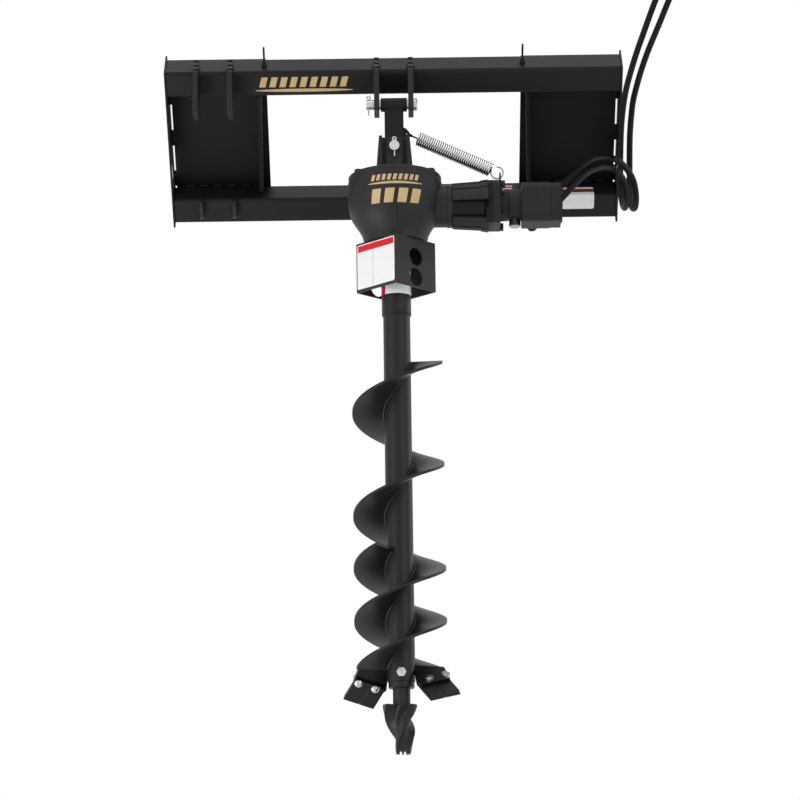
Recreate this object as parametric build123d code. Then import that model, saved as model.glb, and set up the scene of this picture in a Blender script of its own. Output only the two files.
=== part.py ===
from build123d import *
import math
import os

os.makedirs("parts", exist_ok=True)

# Hitch frame: a universal loader plate, leaning forward on the loader's arms
frame_width = 1168.0
frame_height = 457.2
frame_lean = 49.5
beam_size = 72.0
beam_wall = 6.4
beam_corner = 10.0
lower_beam_up = 4.2
plate_thickness = 9.5
end_plate_thickness = 4.8
end_plate_lap = 3.0
end_plate_drop = 6.0
window_half = 327.5
rib_inset = 16.0
rib_splay = 7.0
rib_thickness = 9.0
rib_depth = 52.0
edge_gap_width = 4.5
edge_gap_length = frame_height * 0.177
edge_gap_pitch = frame_height * 0.27
edge_gap_first = 10.0
edge_gap_count = 4
hook_reach = 32.0
hook_drop = 34.0
hook_thickness = 9.5
ledge_reach = 46.0
ledge_thickness = 12.0
lock_slot_length = 70.0
lock_slot_width = 29.0
lock_slot_offset = 24.0
hose_window_down = 318.0
hose_window_back = 38.0
hose_window_height = 80.0
hose_window_depth = 62.0
hose_window_corner = 16.0

# Ears and pins
pin_radius = 12.7
running_gap = 0.05
pin_down = 63.5
pin_out = 63.5
ear_thickness = 13.0
ear_pitch = 86.6
side_ear_centre = 124.5 - frame_width / 2
ear_front = 33.0
ear_rise = 16.0
ear_top_front = 19.0
ear_top_back = 41.0
ear_below_pin = 23.0
ear_chamfer = 3.0
ear_notch_width = 9.0
ear_notch_depth = 8.0
ear_notch_pitch = 20.5
ear_notch_count = 3
lug_centre = 120.0 - frame_width / 2
lug_thickness = 9.0
lug_reach = 22.0
lug_height = 50.0
lug_down = -1.5
lug_chamfer = 9.0
hook_rod_radius = 2.6
hook_base_radius = 7.5
hook_base_height = 22.0
hook_rod_height = 55.0
hook_rod_place = 30.0
hook_x = window_half + 1.5
pin_head_radius = 16.0
pin_head_length = 10.0
pin_tail = 20.0
cotter_radius = 1.8
cotter_up = 14.9
cotter_down = 27.0
cotter_ring_radius = 4.2

# Swinging link
link_length = 123.6
link_tube_radius = 17.5
link_tube_length = 66.0
bushing_wall = 3.2
bushing_length = 22.0
bar_width = 48.0
bar_thickness = 25.4
clevis_gap = 26.0
link_tab_thickness = 6.0

# Gearbox, heights measured down from the swing pin
cover_top = 70.4
cover_thickness = 12.0
cover_radius = 117.0
bowl_radius = 118.5
bowl_wall = 10.0
bowl_bottom = 244.4
bowl_floor_radius = 78.0
bowl_floor = 22.0
input_drop = 147.4
neck_radius = 53.0
neck_start = 88.0
neck_end = 136.5
seam_width = 7.0
seam_rise = 3.0
seam_length = 80.0
tower_top = 29.6
tower_half_top = 38.5
tower_half_base = 47.0
lug_plate = 10.0
flange_out = 27.0
column_half = 20.0
column_out = 23.0
flange_width = 8.0
swing_pin_reach = 15.0
cover_bolt_circle = 104.0
cover_bolt_count = 6
cover_bolt_radius = 6.0
cover_bolt_flats = 19.0
cover_bolt_head = 6.0
cover_bolt_shank = 24.0

# Bevel gears
crown_teeth = 36
pinion_teeth = 12
gear_module = 4.33
face_width = 24.0
addendum_share = 0.80
dedendum_share = 1.05
tooth_share = 0.40
pressure_angle = 20.0
crown_depth = 14.0
crown_hub_radius = 34.0
output_shaft_radius = 25.4
output_shaft_top = 86.4
output_shaft_end = 416.4
output_bearing_radius = 45.0
output_bearing_length = 16.0
seal_length = 4.0
pinion_shaft_radius = 17.5
pinion_bearing_radius = 36.0
pinion_bearing_length = 14.0
pinion_bearing_start = 94.0
pinion_bearing_step = 18.0
input_seal_length = 7.0
pinion_shaft_end = 178.0

# Motor and its adaptor, along X from the auger's centre line
adaptor_small_radius = 53.0
adaptor_large_radius = 59.0
adaptor_bore = 38.0
adaptor_groove = 5.0
adaptor_groove_depth = 10.0
adaptor_groove_count = 8
pocket_length = 11.0
pocket_depth = 12.0
flange_start = 228.0
flange_split = 245.0
flange_end = 263.5
flange_side = 112.0
flange_corner = 20.0
flange_bolt_offset = 43.0
flange_bolt_radius = 6.0
flange_bolt_flats = 18.0
flange_bolt_head = 9.0
nose_radius = 39.5
nose_groove = 284.0
port_start = 317.6
ring_start = 348.6
cap_start = 388.6
motor_end = 415.5
motor_side = 103.0
motor_corner = 24.0
cap_side = 101.0
motor_shaft_radius = 16.0
motor_shaft_start = 182.0
motor_shaft_end = 330.0
coupling_radius = 26.0
coupling_start = 150.0
coupling_end = 212.0
end_bolt_circle = 82.0
end_bolt_count = 6
end_bolt_flats = 16.0
end_bolt_head = 3.5
plug_x = 300.0
plug_radius = 14.5
plug_drop = 18.0
anchor_thickness = 3.5
anchor_width = 30.0
anchor_rise = 83.5
anchor_foot = 20.0
anchor_hole_radius = 5.5

# Guard round the drive hub, a square box turned corner to the front
guard_side = 141.0
guard_height = 126.5
guard_sheet = 4.0
guard_hole_radius = 23.0
guard_hole_first = 291.9
guard_hole_pitch = 52.0
guard_throat = 52.0
guard_bolt_circle = 64.0
guard_bolt_radius = 5.0
guard_bolt_flats = 17.0
guard_bolt_head = 6.0
guard_bolt_length = 16.0

# Auger, heights measured down from the swing pin
hub_top = 266.4
hub_radius = 36.75
hub_groove = 382.4
hub_bottom = 429.0
hub_bolt_radius = 7.0
hub_bolt_flats = 22.0
hub_bolt_head = 8.0
tube_radius = 33.7
tube_bore = 28.5
tube_end = 1349.4
flight_radius = 113.3
flight_pitch = 260.8
flight_thickness = 7.5
flight_seat = 0.05
main_start_drop = 554.1
main_start_angle = -7.0
main_turns = 2.93
second_start_drop = 1026.0
second_start_angle = 240.5
second_turns = 1.12
socket_bore = 21.3
socket_lip_radius = 31.5
socket_top = 1286.4
socket_end = 1364.4
bit_bolt_drop = 1329.9
bit_bolt_radius = 7.0
bit_bolt_flats = 21.0
bit_bolt_head = 8.0
bit_shank_radius = 21.25
bit_shank_top = 1298.4
bit_top = 1405.9
bit_tip = 1524.4
bit_wide_top = 48.5
bit_wide_waist = 36.0
bit_wide_tip = 21.0
bit_narrow_top = 38.0
bit_lead_waist = 17.0
bit_trail_waist = 29.0
bit_narrow_tip = 15.5
bit_core_waist = 14.0
bit_core_tip = 12.0
bit_twist = 152.0
bit_wide_start = 95.0
bit_wide_span = 127.0
bit_narrow_start = -70.0
bit_narrow_span = 70.0
bit_groove_share = 0.84
bit_steps = 12
bit_notch_width = 4.8
bit_notch_depth = 7.0
bit_notch_left = -3.7
bit_notch_right = 6.2

# Cutting blades, one placed here and its twin half a turn round
blade_x = 111.6
blade_y = 2.2
blade_drop = 1337.3
blade_turn = 26.7
blade_slope = 14.0
blade_pitch = 47.7
blade_width = 82.7
blade_length = 65.0
blade_thickness = 8.0
blade_bolt_first = 12.5
blade_bolt_pitch = 46.0
blade_bolt_in = 9.0
blade_bolt_radius = 5.0
blade_bolt_flats = 19.0
blade_bolt_head = 9.0
blade_dome_radius = 12.0
blade_dome_sink = 4.0
bracket_thickness = 10.0
bracket_lap = 18.0
bracket_outer_rise = 27.0
bracket_inner_rise = 58.0
bracket_outer_lean = 8.0
bracket_inner_lean = 32.0
bracket_past = 12.0
bracket_corner = 10.0
blade_groove_width = 5.0
blade_groove_depth = 1.2

# Extension spring
spring_radius = 16.5
spring_wire = 4.0
spring_left = (57.3, 34.1)
spring_right = (244.1, -53.7)
hook_ring_small = 6.5
hook_reach_small = 26.0
hook_ring_large = 15.5

# Hydraulic hoses
hose_radius = 8.25
fitting_radius = 11.0
fitting_reach = 31.0
upper_port_z = 24.0
lower_port_z = -16.0
port_x = 333.0
sleeve_length = 30.0
coupler_radius = 14.0
coupler_length = 58.0
coupler_tip_radius = 11.8
coupler_tip_length = 20.0
hose_bend_share = 0.45

lean = math.radians(frame_lean)
hitch_y = -(frame_height / 2 - pin_down) * math.sin(lean)
hitch_y += -(beam_size + plate_thickness + pin_out) * math.cos(lean)
hitch_z = (frame_height / 2 - pin_down) * math.cos(lean)
hitch_z += -(beam_size + plate_thickness + pin_out) * math.sin(lean)
swing_z = hitch_z - link_length
input_z = swing_z - input_drop
inner_half = frame_width / 2 - end_plate_thickness
beam_front = -(beam_size + plate_thickness)

pressure_route = [
    (366, -137, -250), (403, -128, -214), (438, -117, -179), (468, -105, -148), (494, -88, -119),
    (520, -64, -100), (544, -34, -88), (566, -3, -81), (587, 29, -80), (607, 59, -90),
    (626, 89, -108), (635, 121, -132), (638, 154, -152), (637, 187, -161), (632, 219, -152),
    (631, 243, -126), (630, 255, -87), (631, 258, -48), (632, 256, -6), (633, 250, 35),
    (635, 244, 76), (639, 237, 115), (644, 231, 154), (654, 225, 191), (665, 221, 228),
    (678, 217, 265), (692, 214, 301), (708, 211, 337), (724, 208, 374), (740, 204, 412),
    (756, 200, 449),
]
return_route = [
    (366, -137, -288), (397, -135, -257), (425, -130, -229), (452, -124, -197), (475, -112, -169),
    (498, -91, -146), (521, -63, -128), (543, -31, -114), (563, 3, -107), (582, 38, -105),
    (600, 72, -116), (610, 107, -134), (613, 143, -151), (612, 181, -159), (610, 219, -151),
    (607, 245, -124), (605, 253, -86), (605, 244, -48), (605, 228, -10), (606, 215, 27),
    (608, 208, 67), (612, 205, 106), (618, 205, 146), (626, 206, 185), (637, 208, 223),
    (649, 209, 262), (662, 209, 300), (676, 209, 337), (690, 207, 375), (704, 205, 412),
    (719, 200, 449),
]

finished = {}


def keep(name, shape):
    """Write one sub-part under its own name."""
    finished[name] = shape
    export_step(shape, f"parts/{name}.step")


def on_frame(shape):
    """Lean a piece drawn upright, with the hitch face on Y = 0, into its place."""
    return Rot(frame_lean, 0, 0) * shape


def rod_x(radius, start, end, y=0.0, z=0.0):
    return Pos((start + end) / 2, y, z) * Rot(0, 90, 0) * Cylinder(radius, end - start)


def rod_y(radius, start, end, x=0.0, z=0.0):
    return Pos(x, (start + end) / 2, z) * Rot(90, 0, 0) * Cylinder(radius, end - start)


def rod_z(radius, start, end, x=0.0, y=0.0):
    return Pos(x, y, (start + end) / 2) * Cylinder(radius, end - start)


def block(x0, x1, y0, y1, z0, z1):
    return Pos((x0 + x1) / 2, (y0 + y1) / 2, (z0 + z1) / 2) * Box(x1 - x0, y1 - y0, z1 - z0)


def outline_yz(points, x_centre, thickness):
    """A flat plate across X, its outline given as Y and Z."""
    face = make_face(Polyline([(x_centre - thickness / 2, y, z) for y, z in points], close=True))
    return extrude(face, thickness, dir=(1, 0, 0))


def outline_xz(points, y_centre, thickness):
    """A flat plate across Y, its outline given as X and Z."""
    face = make_face(Polyline([(x, y_centre - thickness / 2, z) for x, z in points], close=True))
    return extrude(face, thickness, dir=(0, 1, 0))


def turned(points):
    """A solid turned about Z from an outline of radius and height."""
    return revolve(make_face(Polyline([(r, 0, z) for r, z in points], close=True)), Axis.Z)


def turned_x(points):
    """A solid turned about X from an outline of distance along X and radius."""
    return revolve(make_face(Polyline([(x, 0, r) for x, r in points], close=True)), Axis.X)


def rounded_bar_x(side, corner, start, end):
    """A square bar along X with rounded corners, centred on X."""
    face = Plane.YZ.offset(start) * RectangleRounded(side, side, corner)
    return extrude(face, end - start, dir=(1, 0, 0))


def hexagon(flats, height):
    return extrude(RegularPolygon(flats / math.sqrt(3), 6), height)


def cotter(up, down):
    """A split pin along Z through a pin on the origin, with its ring at the top end."""
    legs = rod_z(cotter_radius, -down, up)
    ring = Pos(0, 0, up + cotter_ring_radius) * Rot(90, 0, 0) * Torus(cotter_ring_radius, cotter_radius)
    return legs + ring


def upright_height(down):
    return frame_height / 2 - down


def beam_section(down, length, wall):
    """A square tube across the frame, or its outer bar where wall is zero."""
    place = Pos(0, beam_front + beam_size / 2, upright_height(down))
    bar = rounded_bar_x(beam_size, beam_corner, -length / 2, length / 2)
    if wall:
        inner = beam_size - 2 * wall
        bar -= rounded_bar_x(inner, beam_corner - wall, -length / 2, length / 2)
    return place * bar


def lower_beam_down():
    return frame_height - lower_beam_up - beam_size / 2


def beam(name, down):
    keep(name, on_frame(beam_section(down, 2 * inner_half, beam_wall)))


def hitch_plate(side):
    """The loader's plate: a flat sheet with a hook along its top and a pin ledge along its foot."""
    top = upright_height(beam_corner + 2)
    foot = -top
    x_in = window_half
    x_out = inner_half
    sheet = block(x_in, x_out, -plate_thickness, 0, foot, top)
    for index in range(edge_gap_count):
        high = upright_height(edge_gap_first + index * edge_gap_pitch)
        low = max(high - edge_gap_length, foot - 1)
        sheet -= block(x_out - edge_gap_width, x_out + 1, -plate_thickness - 1, 1, low, high)
    hook = outline_yz(hook_outline(top), (x_in + x_out) / 2, x_out - x_in)
    ledge = block(x_in, x_out, 0, ledge_reach, foot, foot + ledge_thickness)
    slot = SlotOverall(lock_slot_length, lock_slot_width)
    slot_place = Pos((x_in + x_out) / 2, lock_slot_offset, foot - 1)
    ledge -= slot_place * extrude(slot, ledge_thickness + 2)
    plate = sheet + hook + ledge
    if side < 0:
        plate = mirror(plate, Plane.YZ)
    return on_frame(plate)


def hook_outline(top):
    """The hook stands out behind the sheet's top edge and turns down at 45 degrees."""
    lip = hook_thickness
    return [
        (0, top), (0, top - lip * 1.4), (hook_reach - lip, top - hook_drop),
        (hook_reach, top - hook_drop + lip * 0.6), (lip * 0.9, top),
    ]


def end_plate(side):
    """A thin plate closing each end of the frame, with a window for the hoses."""
    x0 = side * (inner_half + end_plate_thickness / 2)
    y0 = beam_front - end_plate_lap
    y1 = end_plate_lap
    top = frame_height / 2 + end_plate_lap
    foot = -frame_height / 2 - end_plate_drop
    plate = outline_yz([(y0, top), (y1, top), (y1, foot), (y0, foot)], x0, end_plate_thickness)
    window = Plane.YZ * RectangleRounded(hose_window_depth, hose_window_height, hose_window_corner)
    place = Pos(x0 - 10, beam_front + hose_window_back, upright_height(hose_window_down))
    plate -= place * extrude(window, 20, dir=(1, 0, 0))
    return on_frame(plate)


def inner_rib(side):
    """A narrow upright rib on the hitch plate, between the two beams, splayed at its foot."""
    back = -plate_thickness
    front = back - rib_depth
    top = upright_height(beam_size)
    foot = upright_height(lower_beam_down() - beam_size / 2)
    points = [(back, top), (front + 12, top), (front, top - 12), (front, foot + 10), (front + 10, foot), (back, foot)]
    upper = window_half + rib_inset
    lower = upper + rib_splay
    half = rib_thickness / 2
    rib = outline_yz(points, (upper + lower) / 2, rib_splay + rib_thickness)
    slab = outline_xz([(upper - half, top), (upper + half, top), (lower + half, foot), (lower - half, foot)], -40, 200)
    rib = rib & slab
    return on_frame(mirror(rib, Plane.YZ) if side < 0 else rib)


def ear(x_centre):
    """An ear saddled on the top beam, with its front edge hanging plumb."""
    def placed(down, back):
        y = beam_front + back
        z = upright_height(down)
        return (y * math.cos(lean) - z * math.sin(lean), y * math.sin(lean) + z * math.cos(lean))

    front = hitch_y - ear_front
    foot = hitch_z - ear_below_pin
    points = [
        placed(-ear_rise, -ear_top_front), (front, foot + ear_chamfer), (front + ear_chamfer, foot),
        (hitch_y + ear_front, foot), placed(beam_size + 8, 16), placed(beam_size / 2, ear_top_back), placed(-ear_rise, ear_top_back),
    ]
    plate = outline_yz(points, x_centre, ear_thickness)
    plate -= on_frame(beam_section(beam_size / 2, frame_width, 0))
    for index in range(ear_notch_count):
        back = ear_top_back - 6 - index * ear_notch_pitch
        notch = block(
            x_centre - ear_thickness, x_centre + ear_thickness,
            beam_front + back - ear_notch_width, beam_front + back,
            upright_height(-ear_rise + ear_notch_depth), upright_height(-ear_rise - 20),
        )
        plate -= on_frame(notch)
    plate -= rod_x(pin_radius + running_gap, x_centre - 20, x_centre + 20, hitch_y, hitch_z)
    return plate


def lower_lugs():
    """Two small stops on the front of the lower beam, below the side ears."""
    pair = None
    top = upright_height(lower_beam_down() - beam_size / 2 + lug_down)
    foot = top - lug_height
    front = beam_front - lug_reach
    back = beam_front + beam_corner
    points = [
        (back, top), (front + 10, top), (front, top - 10), (front, foot + lug_chamfer),
        (front + lug_chamfer, foot), (back, foot),
    ]
    for offset in (-ear_pitch / 2, ear_pitch / 2):
        lug = outline_yz(points, lug_centre + offset, lug_thickness)
        lug = on_frame(lug - beam_section(lower_beam_down(), frame_width, 0))
        pair = lug if pair is None else pair + lug
    return pair


def hose_hooks():
    """Two rods on the top beam that the hoses are tied to."""
    pair = None
    top = frame_height / 2
    for x0 in (-hook_x, hook_x):
        y0 = beam_front + hook_rod_place
        base = Pos(x0, y0, top + hook_base_height / 2) * Cone(hook_base_radius, hook_rod_radius, hook_base_height)
        hook = base + rod_z(hook_rod_radius, top + hook_base_height - 1, top + hook_rod_height, x0, y0)
        hook = on_frame(hook)
        pair = hook if pair is None else pair + hook
    return pair


def hitch_pin():
    outer = ear_pitch / 2 + ear_thickness / 2
    pin = rod_x(pin_radius, -outer - pin_tail, outer, hitch_y, hitch_z)
    head = rod_x(pin_head_radius, outer, outer + pin_head_length, hitch_y, hitch_z)
    head = chamfer(head.edges().group_by(Axis.X)[-1], 3)
    return pin + head - rod_z(cotter_radius + 0.1, hitch_z - 20, hitch_z + 20, hitch_cotter_x(), hitch_y)


def hitch_cotter_x():
    return -(ear_pitch / 2 + ear_thickness / 2 + pin_tail * 0.72)


def frame_group():
    beam("top_beam", beam_size / 2)
    beam("bottom_beam", lower_beam_down())
    for side, word in ((-1, "left"), (1, "right")):
        keep(f"{word}_hitch_plate", hitch_plate(side))
        keep(f"{word}_end_plate", end_plate(side))
        keep(f"{word}_inner_rib", inner_rib(side))
        keep(f"centre_ear_{word}", ear(side * ear_pitch / 2))
        keep(f"side_ear_{word}", ear(side_ear_centre + side * ear_pitch / 2))
    keep("lower_lugs", lower_lugs())
    keep("hose_hooks", hose_hooks())
    keep("hitch_pin", hitch_pin())
    keep("hitch_pin_cotter", Pos(hitch_cotter_x(), hitch_y, hitch_z) * cotter(cotter_up, cotter_down))


def link_group():
    """The link hangs from the hitch pin and carries the swing pin at its foot."""
    half = link_tube_length / 2
    bushing_radius = pin_radius + running_gap + bushing_wall
    tube = rod_x(link_tube_radius, -half, half, hitch_y, hitch_z)
    hollow = rod_x(bushing_radius + 0.02, -half - 1, half + 1, hitch_y, hitch_z)
    keep("link_tube", tube - hollow)
    bushings = None
    for side in (-1, 1):
        ends = sorted((side * half, side * (half - bushing_length)))
        ring = rod_x(bushing_radius, ends[0], ends[1], hitch_y, hitch_z)
        ring -= rod_x(pin_radius + running_gap, ends[0] - 1, ends[1] + 1, hitch_y, hitch_z)
        bushings = ring if bushings is None else bushings + ring
    keep("link_bushings", bushings)
    bar = block(
        -bar_width / 2, bar_width / 2, hitch_y - bar_thickness / 2, hitch_y + bar_thickness / 2, swing_z, hitch_z,
    )
    bar += rod_y(bar_width / 2, hitch_y - bar_thickness / 2, hitch_y + bar_thickness / 2, 0, swing_z)
    bar -= rod_y(pin_radius + running_gap, hitch_y - 20, hitch_y + 20, 0, swing_z)
    bar -= tube
    keep("link_bar", bar)
    edge = bar_width / 2
    hole = spring_end(spring_left, -hook_reach_small)
    points = [
        (edge, hole[1] + 17), (edge + 5, hole[1] + 15), (hole[0] + 3, hole[1] + 7), (hole[0] + 6, hole[1]),
        (hole[0] + 4, hole[1] - 6), (edge, hole[1] - 10),
    ]
    tab = outline_xz(points, hitch_y, link_tab_thickness)
    keep("link_spring_tab", tab - rod_y(hole_radius(), hitch_y - 10, hitch_y + 10, hole[0], hole[1]))


def hole_radius():
    return spring_wire / 2 + 1.4


def spring_direction():
    dx = spring_right[0] - spring_left[0]
    dz = spring_right[1] - spring_left[1]
    length = math.hypot(dx, dz)
    return dx / length, dz / length


def spring_end(end, along):
    """A point on the spring's line, at a distance past one end, in row X and Z."""
    ux, uz = spring_direction()
    return (end[0] + ux * along, swing_z + end[1] + uz * along)


def tension_spring():
    """The coil as a plain sleeve, with a ring at each end."""
    ux, uz = spring_direction()
    length = math.dist(spring_left, spring_right)
    tilt = -math.degrees(math.atan2(uz, ux))
    wire = spring_wire / 2
    sleeve = rod_x(spring_radius, 0, length) - rod_x(spring_radius - spring_wire, 2 * wire, length - 2 * wire)
    small = Pos(hook_ring_small - hook_reach_small, 0, 0) * Torus(hook_ring_small, wire)
    small += rod_x(wire, 2 * hook_ring_small - hook_reach_small, wire)
    large = Pos(length + hook_ring_large, 0, 0) * Rot(90, 0, 0) * Torus(hook_ring_large, wire)
    place = Pos(spring_left[0], hitch_y, swing_z + spring_left[1])
    return place * Rot(0, tilt, 0) * (sleeve + small + large)


def bowl_outline(grow):
    """The gearbox casting's outer curve, as radius and depth below the swing pin."""
    rim = cover_top + cover_thickness
    return [
        (cover_radius + grow, rim), (bowl_radius + grow, rim + 9), (bowl_radius + 0.3 + grow, rim + 34),
        (bowl_radius - 0.8 + grow, rim + 62), (bowl_radius - 7.5 + grow, rim + 94),
        (bowl_radius - 16.5 + grow, rim + 110), (bowl_radius - 27 + grow, rim + 126),
        (bowl_radius - 35 + grow, rim + 141), (bowl_floor_radius + grow, bowl_bottom),
    ]


def bowl_solid(grow):
    points = [(r, 0, -depth) for r, depth in bowl_outline(grow)]
    rim = points[0]
    foot = points[-1]
    curve = Spline(points[1:-1])
    lines = [
        Line((0, 0, rim[2]), rim), Line(rim, points[1]), curve, Line(points[-2], foot),
        Line(foot, (0, 0, foot[2])), Line((0, 0, foot[2]), (0, 0, rim[2])),
    ]
    return revolve(make_face(lines), Axis.Z)


def gearbox_housing():
    """A round cast bowl with the input neck on its right."""
    neck = rod_x(neck_radius, neck_start, neck_end, 0, -input_drop)
    body = bowl_solid(0) + neck
    inside = bowl_solid(-bowl_wall)
    floor_height = -(bowl_bottom - bowl_floor)
    inside &= rod_z(bowl_radius, floor_height, 0)
    body -= inside
    body -= rod_z(output_bearing_radius + running_gap, -bowl_bottom - 1, floor_height + 1)
    body -= rod_x(pinion_bearing_radius + running_gap, 60, neck_end + 1, 0, -input_drop)
    seam = bowl_solid(seam_rise) & block(-seam_width / 2, seam_width / 2, -150, -40, -bowl_bottom, -bowl_bottom + seam_length)
    body += seam - bowl_solid(-1)
    for x0, y0 in circle_points(cover_bolt_circle, cover_bolt_count, 30):
        body += bolt_boss(x0, y0)
        body -= rod_z(cover_bolt_radius, -cover_top - cover_bolt_shank, 0, x0, y0)
    for x0, y0 in circle_points(guard_bolt_circle, 4, 0):
        body -= rod_z(guard_bolt_radius, -bowl_bottom - 1, -bowl_bottom + guard_bolt_length - guard_sheet, x0, y0)
    return body


def bolt_boss(x0, y0):
    rim = cover_top + cover_thickness
    boss = rod_z(11, -rim - 20, -rim, x0, y0)
    return boss & rod_z(cover_radius, -rim - 30, 0)


def circle_points(radius, count, first):
    """Points on a circle about the gearbox's axis, the first at an angle in degrees."""
    angles = [math.radians(first + 360 * index / count) for index in range(count)]
    return [(radius * math.cos(angle), radius * math.sin(angle)) for angle in angles]


def tower_half(depth):
    """Half the clevis tower's width at a depth below the swing pin."""
    share = (depth + tower_top) / (cover_top + tower_top)
    return tower_half_top + (tower_half_base - tower_half_top) * share


def clevis_lug(side):
    """One lug of the clevis: a web with a slanted flange on each edge and a pin column."""
    inner = side * clevis_gap / 2
    web_out = inner + side * lug_plate
    top = tower_top
    base = -cover_top - 2
    top_half = tower_half(-tower_top)
    base_half = tower_half(cover_top)
    mid = (inner + web_out) / 2
    web = outline_xz([(-top_half, top), (top_half, top), (base_half, base), (-base_half, base)], mid, lug_plate)
    reach = flange_out
    for edge in (-1, 1):
        points = [
            (edge * top_half, top), (edge * base_half, base),
            (edge * (base_half - flange_width * 1.9), base), (edge * (top_half - flange_width), top),
        ]
        web += outline_xz(points, inner + side * reach / 2, reach)
    column = outline_xz(
        [(-column_half, top - 4), (column_half, top - 4), (column_half + 1, base), (-column_half - 1, base)],
        inner + side * column_out / 2, column_out,
    )
    return web + column


def gearbox_cover():
    """The lid of the bowl, with the clevis that hangs on the swing pin."""
    rim = cover_top + cover_thickness
    lid = rod_z(cover_radius, -rim, -cover_top)
    lid = fillet(lid.edges().group_by(Axis.Z)[-1], 4)
    boss = rod_z(output_bearing_radius + 10, -rim - output_bearing_length, -rim)
    lid += boss + clevis_lug(-1) + clevis_lug(1)
    lid -= rod_z(output_bearing_radius + running_gap, -rim - output_bearing_length - 1, -rim + 4)
    lid -= rod_y(pin_radius + running_gap, -80, 80)
    for x0, y0 in circle_points(cover_bolt_circle, cover_bolt_count, 30):
        lid -= rod_z(cover_bolt_radius, -rim - 1, -cover_top + 1, x0, y0)
    return lid


def cover_bolts():
    group = None
    for x0, y0 in circle_points(cover_bolt_circle, cover_bolt_count, 30):
        bolt = Pos(x0, y0, -cover_top) * hexagon(cover_bolt_flats, cover_bolt_head)
        bolt += rod_z(cover_bolt_radius, -cover_top - cover_bolt_shank, -cover_top, x0, y0)
        group = bolt if group is None else group + bolt
    return group


def swing_pin():
    """The pin runs front to back through both lugs, with its cotter in front."""
    reach = clevis_gap / 2 + column_out
    pin = rod_y(pin_radius, -reach - swing_pin_reach, reach)
    head = rod_y(pin_head_radius, reach, reach + pin_head_length)
    return pin + head - rod_z(cotter_radius + 0.1, -20, 20, 0, swing_cotter_y())


def swing_cotter_y():
    return -(clevis_gap / 2 + column_out + swing_pin_reach * 0.55)


def hung(shape):
    """Move a piece drawn about the swing pin to where the pin is."""
    return Pos(0, hitch_y, swing_z) * shape


def ring_z(outer, inner, start, end):
    return rod_z(outer, start, end) - rod_z(inner, start - 1, end + 1)


def ring_x(outer, inner, start, end):
    return rod_x(outer, start, end, 0, -input_drop) - rod_x(inner, start - 1, end + 1, 0, -input_drop)


def output_bearings():
    upper = -(cover_top + cover_thickness + output_bearing_length)
    lower = -(bowl_bottom - seal_length)
    inner = output_shaft_radius + running_gap
    pair = ring_z(output_bearing_radius, inner, upper, upper + output_bearing_length)
    return pair + ring_z(output_bearing_radius, inner, lower, lower + output_bearing_length)


def pinion_bearings():
    group = None
    for index in range(2):
        start = pinion_bearing_start + index * pinion_bearing_step
        inner = pinion_shaft_radius + running_gap
        ring = ring_x(pinion_bearing_radius, inner, start, start + pinion_bearing_length)
        group = ring if group is None else group + ring
    return group


def motor_adaptor():
    """The ribbed casting between the gearbox's neck and the motor's flange."""
    body = turned_x([
        (neck_end, 0), (neck_end, adaptor_small_radius), (flange_start - 40, adaptor_small_radius + 2),
        (flange_start, adaptor_large_radius), (flange_start, 0),
    ])
    body = Pos(0, 0, -input_drop) * body
    for index in range(adaptor_groove_count):
        angle = 360 * (index + 0.5) / adaptor_groove_count
        depth = adaptor_small_radius - adaptor_groove_depth
        cut = block(neck_end + 4, flange_start - pocket_length - 6, -adaptor_groove / 2, adaptor_groove / 2, depth, 90)
        body -= Pos(0, 0, -input_drop) * Rot(angle, 0, 0) * cut
    for index in range(adaptor_groove_count // 2):
        pocket = block(flange_start - pocket_length, flange_start - 2, -13, 13, adaptor_large_radius - pocket_depth, 90)
        body -= Pos(0, 0, -input_drop) * Rot(45 + 90 * index, 0, 0) * pocket
    body += Pos(0, 0, -input_drop) * rounded_bar_x(flange_side, flange_corner, flange_start, flange_split)
    body -= rod_x(adaptor_bore, neck_end - 1, flange_split + 1, 0, -input_drop)
    for y0, z0 in flange_bolt_points():
        body -= rod_x(flange_bolt_radius, flange_start - 1, flange_split + 1, y0, z0)
    return body


def flange_bolt_points():
    side = flange_bolt_offset
    return [(y0, -input_drop + z0) for y0 in (-side, side) for z0 in (-side, side)]


def motor_front_housing():
    """The motor's flange, nose and port block in one casting."""
    body = rounded_bar_x(flange_side, flange_corner, flange_split, flange_end)
    body += rod_x(nose_radius, flange_end, port_start)
    groove = rod_x(nose_radius + 1, nose_groove - 1.5, nose_groove + 1.5)
    groove -= rod_x(nose_radius - 2, nose_groove - 3, nose_groove + 3)
    body -= groove
    body += rounded_bar_x(motor_side, motor_corner, port_start, ring_start)
    body -= rod_x(motor_shaft_radius + running_gap, flange_split - 1, motor_shaft_end + 0.3)
    body = Pos(0, 0, -input_drop) * body
    for y0, z0 in flange_bolt_points():
        body -= rod_x(flange_bolt_radius, flange_split - 1, flange_end + 1, y0, z0)
    return body


def motor_section(side, start, end):
    return Pos(0, 0, -input_drop) * rounded_bar_x(side, motor_corner, start, end)


def motor_bolts():
    """The four flange bolts, and the six bolts that clamp the motor's sections."""
    group = None
    for y0, z0 in flange_bolt_points():
        bolt = rod_x(flange_bolt_radius, flange_start, flange_end + anchor_reach(z0), y0, z0)
        head = Rot(0, 90, 0) * hexagon(flange_bolt_flats, flange_bolt_head)
        bolt += Pos(flange_end + anchor_reach(z0), y0, z0) * head
        group = bolt if group is None else group + bolt
    for y0, z0 in circle_points(end_bolt_circle / 2, end_bolt_count, 15):
        head = Rot(0, 90, 0) * hexagon(end_bolt_flats, end_bolt_head)
        group += Pos(motor_end, y0, z0 - input_drop) * head
    return group


def anchor_reach(z0):
    """The upper flange bolts also clamp the spring's anchor plate."""
    return anchor_thickness if z0 > -input_drop else 0.0


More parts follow.
